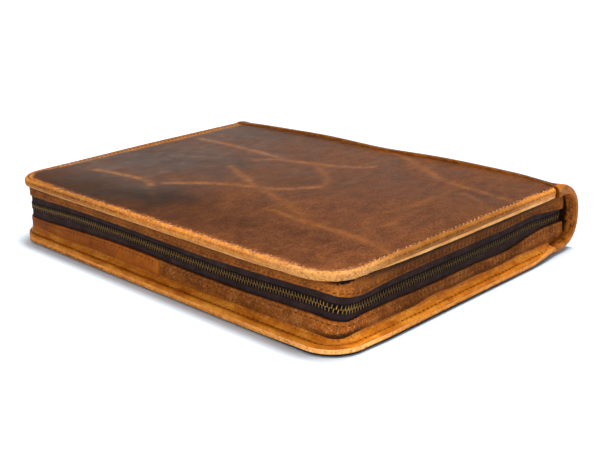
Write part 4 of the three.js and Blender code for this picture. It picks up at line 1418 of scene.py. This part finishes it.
for side, name, shift, nodes in (
    (1, "upper_zip_teeth", 0.0, ["zip_teeth"]),
    (-1, "lower_zip_teeth", TOOTH_PITCH / 2, []),
):
    shape = tooth(side)
    at_head = np.abs(shape[0][:, 1]) < HEAD_LENGTH
    row = frames_on(zip_x, zip_y, teeth_line, SIDEWAYS, TOOTH_PITCH, shift)
    level_shine = np.repeat(LEVEL_SHINE, len(at_head) // len(LEVEL_SHINE))
    shine = level_shine * np.where(at_head, worn(row, HEAD_SHINE), worn(row, LEG_SHINE))
    finish_piece(repeated(name, row, shape, {"shine": shine}), tooth_brass, "antique_brass", *nodes)
    print(len(row.place), "teeth")

# %% [markdown]
# ## Slider
# The slider sits at the closed end of the zip, on the side away from the camera, so it is a plain one:
# two plates, the web between them, a lug and a flat pull. They could be bevelled boxes. A superellipsoid,
# a box with soft edges, is used because one formula makes them all.

# %% Slider surface
PLATE = 1.6
SLIDER_LENGTH = 13.0
SUNK = 0.6  # depth inside a plate, from the side that faces the tape, at which the web and the lug end
WEB_HALF, LUG_HALF, PULL_HALF = 2.3, 1.2, 3.5  # half heights
LUG_FROM, LUG_TO, PULL_END = 8.0, 4.0, 3.0  # from the slider's back end
LUG_COVER, PULL_DEPTH = 0.8, 2.3
PLATE_FULLNESS, LUG_FULLNESS, PULL_FULLNESS = 6.0, 3.0, 4.0
BOX_ROWS, BOX_COLUMNS = 14, 32


def soft_box(low, high, fullness):
    """Superellipsoid in a box: cosines and sines raised to 2 / fullness, keeping their signs."""
    low, high = np.array(low, float), np.array(high, float)
    lat = np.linspace(-np.pi / 2, np.pi / 2, BOX_ROWS)[1:-1, None]
    lon = np.linspace(0, 2 * np.pi, BOX_COLUMNS, endpoint=False)[None, :]

    def power(v):
        return np.sign(v) * np.abs(v) ** (2 / fullness)

    across = power(np.cos(lat))
    unit = [across * power(np.cos(lon)), across * power(np.sin(lon)), power(np.sin(lat)) + 0 * lon]
    return capped((low + high) / 2 + np.stack(unit, -1) * (high - low) / 2)


left, front, low = box_mm("zip_slider")[0]
back, high = box_mm("zip_slider")[1][1:]
start = back - SLIDER_LENGTH
middle = (low + high) / 2
face = GUSSET_FACE.left + TAPE_INSET - GAP
behind = GUSSET_FACE.left + TAPE_INSET + TAPE_THICKNESS + GAP
boxes = [
    soft_box((face - PLATE, start, low), (face, back, high), PLATE_FULLNESS),
    soft_box((behind, start, low), (behind + PLATE, back, high), PLATE_FULLNESS),
    soft_box(
        (face - SUNK, start, middle - WEB_HALF), (behind + SUNK, back, middle + WEB_HALF), PLATE_FULLNESS
    ),
    soft_box(
        (left + LUG_COVER, back - LUG_FROM, middle - LUG_HALF),
        (face - SUNK, back - LUG_TO, middle + LUG_HALF),
        LUG_FULLNESS,
    ),
    soft_box(
        (left, front, middle - PULL_HALF),
        (left + PULL_DEPTH, back - PULL_END, middle + PULL_HALF),
        PULL_FULLNESS,
    ),
]
points, quads, caps = zip(*boxes)
shifts = np.arange(len(boxes)) * len(points[0])
slider = build(
    "zip_slider_brass",
    np.concatenate(points),
    np.concatenate([q + shift for q, shift in zip(quads, shifts)]),
    [cap + shift for ends, shift in zip(caps, shifts) for cap in ends],
    {"shine": np.ones(len(boxes) * len(points[0]))},
)
finish_piece(slider, tooth_brass, "antique_brass", "zip_slider")

# %% [markdown]
# ## Spine
# The spine is one thick piece of leather bent round the back. In section it is a C: a superellipse
# outside, a fuller one inside, and a thin flap over each cover. The flap's cut edge stands up from the
# panel and shows the raw tan leather, and so do the rims at both ends. The hollow opens towards the ends
# like a funnel, so a thin rim and the rough inside of the leather are seen there. A sheet could be bent
# and thickened, but this leather is much thicker at the back than at its flaps, so the inside and the
# outside are written as curves of their own.

# %% Sizes of the spine
SPINE_CENTRE = 28.0
SPINE_STEPS, ROLL_STEPS = 250, 12
UPPER_FULLNESS, UPPER_END_FULLNESS = 1.6, 2.05
LOWER_FULLNESS, LOWER_END_FULLNESS = 2.3, 2.8
FULLER_FROM, FULLER_TO = 14.0, 1.0  # distances from the end
FLAP_GAP = 0.4
FLAP_SLOPE = 1.5
FLAP_LEAST, FLAP_ROUNDING = 0.4, 0.2  # least thickness, and share of the rim's drop taken off it
END_ROUNDING = 1.5
END_WALL = 4.2
FUNNEL = 7.0
FUNNEL_FLARE = 0.5  # share of the funnel by which the hollow opens up and down
RIM_BEAD, BEAD_AT, BEAD_WIDTH = 1.0, 2.5, 3.5
BEAD_TOP = 0.5
FOOT_TOP, FOOT_ROUNDING, SOLE_LEAST = 2.2, 0.5, 0.1
CHIN = 2.2
CUT_BULGE, CUT_SHARE = 0.15, 0.8  # of the flap's cut edge
SOLE_ROUNDING, SOLE_LOW, SOLE_SIDE = 0.3, 0.07, 0.35  # of the lower flap's edge
END_RIM = (6.0, 2.5)  # distances from the end, as the next two
INSIDE_ROUGH, INSIDE_PAINTED_SHADE = (1.0, 2.8), (4.5, 9.0)
SETTLED, CHIN_END = 0.35, 0.4  # shares of the way out, as the next two
FLOOR_FLARE, ROOF_FLARE = (0.3, 0.8), (0.0, 0.5)
FOLD_RAW = (0.9, 0.2)
CUT_ROWS, FOLD_ROWS, UPPER_ROWS, LOWER_ROWS, HOLLOW_ROWS = 9, 6, 46, 40, 24


def quarter(turn, fullness):
    """Superellipse quarter: cosine and sine of a turn from 0 to 1, each raised to 2 / fullness."""
    angle = np.asarray(turn)[:, None] * np.pi / 2
    power = 2 / np.asarray(fullness, float)
    return np.clip(np.cos(angle), 0, 1) ** power, np.clip(np.sin(angle), 0, 1) ** power


def round_off(x, half, radius):
    """Drop of a quarter round at both ends of a length: radius - sqrt(radius^2 - run^2)."""
    run = np.clip(np.abs(x) - (half - radius), 0, radius)
    return radius - np.sqrt(radius**2 - run**2)


print("the hollow lies", SPINE_WALL, "mm off the back, and", END_WALL, "mm at the spine's ends")

# %% Spine surface


def spine_surface():
    """The C section as rows, carried along X; the flap's ends round off like the rims beside them."""
    half = BACK_RIM.right
    rim_x = half - NOSE_RADIUS + NOSE_RADIUS * np.sin(np.linspace(0, np.pi / 2, ROLL_STEPS))
    between = np.linspace(NOSE_RADIUS - half, half - NOSE_RADIUS, SPINE_STEPS)[1:-1]
    x = np.r_[-rim_x[::-1], between, rim_x][None, :]
    from_end = half - np.abs(x)
    nose = round_off(x, half, NOSE_RADIUS)
    bead = RIM_BEAD * bell(from_end, BEAD_AT, BEAD_WIDTH)
    funnel = (SPINE_WALL - END_WALL) * smooth(np.abs(x), half - FUNNEL, half)
    edge, lap, swell, flap, foot = (through(x, SPINE.x, column) for column in SPINE[1:])
    collar = edge + lap
    under = PANEL_TOP + swell + FLAP_GAP - nose
    upper = under + np.maximum(flap - FLAP_ROUNDING * nose, FLAP_LEAST)
    bottom = foot + FOOT_ROUNDING * nose
    over = np.maximum(FOOT_TOP, bottom + SOLE_LEAST)
    start = edge + FLAP_SLOPE
    back = BACK_Y + bead - round_off(x, half, END_ROUNDING)
    wall = BACK_Y - SPINE_WALL + funnel
    near_end = smooth(np.abs(x), half - FULLER_FROM, half - FULLER_TO)
    at_end = smooth(np.abs(x), half - END_RIM[0], half - END_RIM[1])
    rows = []

    def add(y, z, raw):
        rows.append(np.broadcast_arrays(y + 0 * x, z + 0 * x, raw + 0 * x))

    # The flap's cut edge, and the fold over it
    lip = np.linspace(0, 1, CUT_ROWS)[:, None]
    add(edge + CUT_BULGE * np.sin(np.pi * lip), under + lip * CUT_SHARE * (upper - under), 1.0)
    fold = np.linspace(0, np.pi / 2, FOLD_ROWS + 1)[1:, None]
    add(
        edge + FLAP_SLOPE / 2 * (1 - np.cos(fold)),
        upper - (1 - CUT_SHARE) * (upper - under) * (1 - np.sin(fold)),
        np.linspace(*FOLD_RAW, FOLD_ROWS)[:, None],
    )
    # The outside, from the flap to the back and down to the foot
    fullness = UPPER_FULLNESS + (UPPER_END_FULLNESS - UPPER_FULLNESS) * near_end
    up, out = quarter(np.linspace(0, 1, UPPER_ROWS), fullness)
    top = upper + nose + BEAD_TOP * bead
    settle = nose * (1 - smooth(out, 0.0, SETTLED))
    add(start + out * (back - start), SPINE_CENTRE + up * (top - SPINE_CENTRE) - settle, 0.0)
    fullness = LOWER_FULLNESS + (LOWER_END_FULLNESS - LOWER_FULLNESS) * near_end
    out, down = quarter(np.linspace(0, 1, LOWER_ROWS + 1)[1:], fullness)
    add(start + out * (back - start), SPINE_CENTRE + down * (bottom - SPINE_CENTRE), 0.0)
    # The lower flap's edge and upper face
    add(edge + SOLE_ROUNDING, bottom + SOLE_LOW * (over - bottom), 0.5)
    add(edge, bottom + SOLE_SIDE * (over - bottom), 1.0)
    add(edge, over, 1.0)
    add(collar, over, 1.0)
    # The hollow, from its floor to its roof
    # the third level is painted shade deep inside the hollow
    inside_raw = 1 + smooth(from_end, *INSIDE_ROUGH) + smooth(from_end, *INSIDE_PAINTED_SHADE)
    down, out = quarter(np.linspace(0, 1, HOLLOW_ROWS), HOLLOW_FULLNESS)
    low = HOLLOW_LOW - FUNNEL_FLARE * funnel * smooth(out, *FLOOR_FLARE)
    low = low + CHIN * at_end * (1 - smooth(out, 0.0, CHIN_END))
    add(collar + out * (wall - collar), HOLLOW_MIDDLE + down * (low - HOLLOW_MIDDLE), inside_raw)
    out, up = quarter(np.linspace(0, 1, HOLLOW_ROWS)[1:], HOLLOW_FULLNESS)
    high = HOLLOW_HIGH + FUNNEL_FLARE * funnel * smooth(out, *ROOF_FLARE)
    add(collar + out * (wall - collar), HOLLOW_MIDDLE + up * (high - HOLLOW_MIDDLE), inside_raw)
    add(collar, under, 1.0)
    y, z, raw = (np.concatenate(part) for part in zip(*rows))
    raw = np.where(raw < 1.0, np.maximum(raw, at_end), raw)
    return tube("spine_leather", np.broadcast_to(x, y.shape), y, z, {"raw": raw})


spine = spine_surface()

# %% Leather of the spine


def spine_leather(name):
    """Waxed outside (raw 0), tan at cut edges and end rims (1), rough inside (2), painted shade deep in the
    hollow (3).
    """
    finish = Finish(name)
    colour = finish.ramp(
        finish.noise(26.0, 6.0, 0.62, warp=0.6),
        (0.28, srgb(54, 35, 26)), (0.5, srgb(78, 50, 35)), (0.75, srgb(106, 68, 42)),
    )
    smears = finish.noise(120.0, 6.0, 0.65, finish.stretch((0.5, 1, 1)))
    colour = finish.shaded(colour, smears, 0.3, 0.7, 0.7, 1.3)
    colour = finish.shaded(colour, finish.noise(620.0, 5.0, 0.75), 0.34, 0.66, 0.7, 1.3)
    fray = finish.span(finish.noise(300.0, 5.0, 0.7), 0.3, 0.7, -0.3, 0.3)
    raw = finish.plus(finish.attribute("raw"), fray)
    tan = finish.ramp(
        finish.noise(140.0, 5.0, 0.65),
        (0.3, srgb(128, 66, 12)), (0.5, srgb(164, 92, 22)), (0.7, srgb(194, 120, 42)),
    )
    colour = finish.dab(colour, tan, raw, 0.35, 0.75)
    inner = finish.ramp(
        finish.noise(420.0, 5.0, 0.75),
        (0.36, srgb(50, 23, 4)), (0.48, srgb(126, 65, 11)), (0.62, srgb(172, 98, 26)),
    )
    colour = finish.dab(colour, inner, raw, 1.3, 1.7)
    # painted shade deep inside the hollow
    colour = finish.dab(colour, srgb(44, 20, 6), raw, 2.1, 2.8)
    return finish.surface(
        Base_Color=colour, Roughness=0.55, Specular_IOR_Level=0.15, Normal=leather_grain(finish)
    )


spine_finish = spine_leather("spine_waxed_leather")
finish_piece(spine, spine_finish, "spine_leather", "spine")
print(spine_finish.name, "has", len(spine_finish.node_tree.nodes), "nodes")

# %% [markdown]
# ## Stitches
# Thread is what makes leatherwork look sewn. A stitch is a short bent capsule: a ring of points carried
# along a shallow arch whose ends dive into the leather. Rows of stitches follow the rims, the flange and
# the gusset's cut edges. The saddle stitches on top lie a little aslant. They could be a bump in the
# leather's finish, but real thread casts the small shadows that show how it was sewn.

# %% Stitch and thread
Stitch = namedtuple("Stitch", "length radius lift slant")
STITCH_RINGS, STITCH_SIDES = 7, 6
STITCH_SINK = 0.6  # share of its radius by which a stitch lies in the leather
STITCH_TAPER, TAPER_POWER, THINNEST = 1.9, 6, 0.05  # how the ends of a stitch get thin


def stitch(size):
    """One stitch: rings round an arch, height = lift (1 - 4 t^2), with t from -1/2 to 1/2."""
    t = np.linspace(-0.5, 0.5, STITCH_RINGS)[:, None]
    turn = np.linspace(0, 2 * np.pi, STITCH_SIDES, endpoint=False)[None, :]
    thick = size.radius * np.sqrt(np.clip(1 - (STITCH_TAPER * t) ** TAPER_POWER, THINNEST, 1))
    along = t * size.length * np.cos(size.slant) - thick * np.cos(turn) * np.sin(size.slant)
    beside = t * size.length * np.sin(size.slant) + thick * np.cos(turn) * np.cos(size.slant)
    height = size.lift * (1 - 4 * t * t) - size.radius * STITCH_SINK + thick * np.sin(turn)
    return capped(np.stack([along, beside, height], -1))


def thread(name, colours):
    """Twisted thread, mottled along its length and soiled where the attribute says so."""
    finish = Finish(name)
    dark, pale, soiled = (srgb(*c) for c in colours)
    twist = finish.noise(1800.0, 3.0, 0.6)
    colour = finish.ramp(twist, (0.3, dark), (0.7, pale))
    uneven = finish.span(finish.noise(240.0, 3.0), 0.35, 0.65, -0.3, 0.3)
    colour = finish.dab(colour, soiled, finish.plus(finish.attribute("soil"), uneven), 0.0, 1.0)
    return finish.surface(
        Base_Color=colour, Roughness=0.7, Specular_IOR_Level=0.1, Normal=finish.bump(twist, 0.0001, 0.5)
    )


pale_thread = thread("pale_thread", [(160, 112, 84), (210, 170, 140), (80, 36, 10)])
brown_thread = thread("brown_thread", [(64, 30, 8), (116, 60, 16), (150, 80, 20)])


def sewn(name, row, size, soil, material, slot):
    """A row of stitches as one piece, soiled by one share or by a share for each stitch."""
    finish_piece(repeated(name, row, stitch(size), {"soil": soil}), material, slot)


print("threads:", pale_thread.name, brown_thread.name)

# %% Stitches of the rims
RIM_SOIL = Chart([-425, -180, -120, 0, 140, 200, 425], [0.98, 0.95, 0.65, 0.48, 0.48, 0.44, 0.44])
RIM_SINK = Chart(
    [-425, -190, -150, 100, 150, 185, 225, 425], [-0.15, -0.1, 0.35, 0.4, 0.5, 0.35, 0.05, 0.05]
)
RIM_ROW = Chart([-425, -195, -160, 425], [5.6, 5.4, STITCH_INSET, STITCH_INSET])
PLAIN_SOIL = 0.2

rim_row = charted(RIM_ROW)
x, y = border(FRONT_RIM, -rim_row)
z = front_outer(x, y) - GROOVE_DEPTH + left_lift(ALONG, rim_row) - charted(RIM_SINK)
row = frames_on(x, y, z, UPWARD, STITCH_PITCH)
size = Stitch(length=4.2, radius=0.46, lift=0.5, slant=0.5)
sewn("front_rim_stitches", row, size, worn(row, RIM_SOIL), pale_thread, "pale_leather")

x, y = border(BACK_RIM, rim_out(BACK_RIM) - STITCH_INSET)
row = frames_on(x, y, back_outer(x, y) + GROOVE_DEPTH, DOWNWARD, STITCH_PITCH)
size = Stitch(length=3.6, radius=0.3, lift=0.1, slant=0.5)
sewn("back_rim_stitches", row, size, PLAIN_SOIL, pale_thread, "pale_leather")

# %% Stitches of the edging
FLANGE_SOIL = Chart([-425, -150, 120, 172, 210, 425], [0.5, 0.6, 0.75, 0.7, 0.35, 0.3])
TACK_REACH = (0.2, 0.56)
TACK_STEPS = (2.2, 5.0)  # from the flange's end
TACK_SOIL = 0.1


def edging_line(side, reach):
    """X and Y of a line along the edging at one reach."""
    x, y = under_rim(side, [reach])
    return x[0], y[0]


def end_tacks():
    """Frames of the few stitches across each end of the flange, pointing from the roll to the gusset."""
    places, inward = [], []
    for reach in TACK_REACH:
        x, y = edging_line(BACK_SIDE, reach)
        over = through(reach, EDGING.reach, EDGING.flange)
        for step in TACK_STEPS:
            near = np.argmin(np.where(ON_LEFT, np.inf, np.abs(y - (RIM_END - step))))
            for k in (near, len(ALONG) - 1 - near):
                places.append((x[k], y[k], COVER_THICKNESS + over))
                inward.append((-OUT_X[k], -OUT_Y[k], 0.0))
    up = np.tile((0.0, 0.0, 1.0), (len(places), 1))
    inward = np.array(inward)
    return Frames(np.array(places), inward, np.cross(up, inward), up, None)


x, y = edging_line(BACK_SIDE, GROOVE_REACH)
row = frames_on(x, y, ZEROS + COVER_THICKNESS + GROOVE_OVER, UPWARD, STITCH_PITCH)
size = Stitch(length=3.0, radius=0.5, lift=0.3, slant=1.0)
sewn("flange_stitches", row, size, worn(row, FLANGE_SOIL), brown_thread, "tan_leather")

size = Stitch(length=2.9, radius=0.42, lift=0.55, slant=0.0)
sewn("flange_end_tacks", end_tacks(), size, TACK_SOIL, brown_thread, "tan_leather")

x, y = edging_line(FRONT_SIDE, GROOVE_REACH)
row = frames_on(x, y, FRONT_INNER - LIP_UNDER * charted(LIP_SHARE), DOWNWARD, STITCH_PITCH)
size = Stitch(length=3.5, radius=0.4, lift=0.3, slant=0.0)
sewn("lip_stitches", row, size, PLAIN_SOIL, brown_thread, "tan_leather")

# %% Stitches of the gusset
EDGE_SEAM = 2.3
SEAM_SHORT = 1.0  # the seams end this much before the gusset
SEAM_STATIONS = 2  # from the joint to the start of the brown strip's seam
SEAM_STITCH = Stitch(length=2.8, radius=0.36, lift=0.2, slant=0.0)


def gusset_seam(name, edge, foot, towards, seed, size, lap=0.0, part=slice(None)):
    """Stitches beside the gusset's cut edge, on the face that bows between its foot and that edge."""
    share = 1 - EDGE_SEAM / np.abs(edge - foot)
    x, y = border(GUSSET_FACE, gusset_out(share, seed) + lap, zip_end(edge) - SEAM_SHORT)
    normal = [c[part] for c in SIDEWAYS]
    row = frames_on(x[part], y[part], (edge + towards * EDGE_SEAM)[part], normal, STITCH_PITCH)
    sewn(name, row, size, PLAIN_SOIL, brown_thread, "gusset_leather")


gusset_seam(
    "upper_gusset_stitches", upper_edge, FRONT_INNER, 1, UPPER_SEED, SEAM_STITCH._replace(slant=0.4)
)
for name, seed, lap, part in (
    ("orange_gusset_stitches", LEFT_SEED, lap_bulge, slice(0, joint_station)),
    ("brown_gusset_stitches", RIGHT_SEED, 0.0, slice(joint_station + SEAM_STATIONS, None)),
):
    gusset_seam(name, lower_edge, COVER_THICKNESS, -1, seed, SEAM_STITCH, lap, part)

# %% [markdown]
# ## Floor, light and camera
# The organizer lies on a plain pale floor in soft studio light: a row of three lamps overhead and a
# little behind, like one long soft box, a weak fill from the near corner, and a bright band of
# background behind, which gives the wax its grey sheen. Area lamps would do as well, but sun lamps with a
# width light every place alike. The camera stands where the photo was taken.

# %% Floor
FLOOR_HALF, FLOOR_HEIGHT = 6.0, -0.0002
floor_mesh = bpy.data.meshes.new("floor")
corners = [(-1, -1), (1, -1), (1, 1), (-1, 1)]
floor_points = [(FLOOR_HALF * a, FLOOR_HALF * b, FLOOR_HEIGHT) for a, b in corners]
floor_mesh.from_pydata(floor_points, [], [(0, 1, 2, 3)])
floor = bpy.data.objects.new("floor", floor_mesh)
bpy.context.scene.collection.objects.link(floor)
floor_finish = Finish("pale_floor")
floor_paint = floor_finish.surface(
    Base_Color=srgb(213, 222, 233), Roughness=0.9, Specular_IOR_Level=0.0
)
floor.data.materials.append(floor_paint)
print("floor", 2 * FLOOR_HALF, "m wide")

# %% Lights
Lamp = namedtuple("Lamp", "name towards strength width colour")
WARM_WHITE = (1.0, 0.985, 0.965)
LAMPS = [
    Lamp("overhead_left", (-0.14, 0.165, 0.975), 1.3, 14.0, WARM_WHITE),
    Lamp("overhead_middle", (0.02, 0.165, 0.985), 1.5, 12.0, WARM_WHITE),
    Lamp("overhead_right", (0.2, 0.165, 0.965), 1.4, 16.0, WARM_WHITE),
    Lamp("corner_fill", (0.45, -0.66, 0.5), 0.8, 60.0, (1.0, 0.99, 0.97)),
]
for lamp in LAMPS:
    light = bpy.data.lights.new(lamp.name, "SUN")
    light.energy = lamp.strength
    light.angle = np.radians(lamp.width)
    light.color = lamp.colour
    holder = bpy.data.objects.new(lamp.name, light)
    holder.rotation_euler = Vector(lamp.towards).to_track_quat("Z", "Y").to_euler()
    holder.visible_glossy = False
    bpy.context.scene.collection.objects.link(holder)
print(len(LAMPS), "lamps")

# %% Background
BEHIND = (-0.69, 0.72, 0.0)
BEHIND_FULL = 0.5  # the band is full where the direction's share towards BEHIND reaches this
BEHIND_SKY = ((0.0, 1.4), (0.2, 1.4), (0.32, 0.5), (0.45, 0.1), (1.0, 0.15))
SKY_TINT = (1.0, 0.99, 0.96)
FRONT_SKY = 0.42

world = bpy.data.worlds.new("studio")
bpy.context.scene.world = world
world.use_nodes = True
sky = Graph(world.node_tree)
direction = sky.add("TexCoord").outputs["Generated"]
height = sky.add("SeparateXYZ", {"Vector": direction}).outputs["Z"]
stops = [(place, (*(value * tint for tint in SKY_TINT), 1.0)) for place, value in BEHIND_SKY]
band = sky.ramp(height, *stops)
facing = sky.add("VectorMath", {0: direction, 1: BEHIND}, operation="DOT_PRODUCT").outputs["Value"]
share = sky.add("MapRange", {"Value": facing, "From Max": BEHIND_FULL}).outputs["Result"]
blend = sky.mix(share, (FRONT_SKY, FRONT_SKY, FRONT_SKY, 1.0), band)
sky.join(blend, sky.tree.nodes["Background"].inputs["Color"])
bpy.context.scene.view_settings.view_transform = "Standard"
print("background of", len(sky.tree.nodes), "nodes")

# %% Camera
PHOTO_WIDTH = 600
FOCAL_PIXELS = 990.4
CENTRE_SHIFT = (0.0891, -0.0189)
CAMERA_PLACE = (0.51539, -0.53678, 0.25921)
AZIMUTH, ELEVATION, ROLL = np.radians((46.313, 17.711, -1.453))
level = np.cos(ELEVATION)
backward = Vector((np.sin(AZIMUTH) * level, -np.cos(AZIMUTH) * level, np.sin(ELEVATION)))
lens = bpy.data.cameras.new("camera")
lens.sensor_width = 36.0
lens.lens = FOCAL_PIXELS * lens.sensor_width / PHOTO_WIDTH
lens.shift_x, lens.shift_y = CENTRE_SHIFT
lens.clip_start = 0.01
camera = bpy.data.objects.new("camera", lens)
camera.location = CAMERA_PLACE
camera.rotation_mode = "QUATERNION"
camera.rotation_quaternion = (-backward).to_track_quat("-Z", "Y") @ Quaternion((0, 0, 1), ROLL)
bpy.context.scene.collection.objects.link(camera)
bpy.context.scene.camera = camera
print("camera with a lens of", round(lens.lens, 1), "mm")
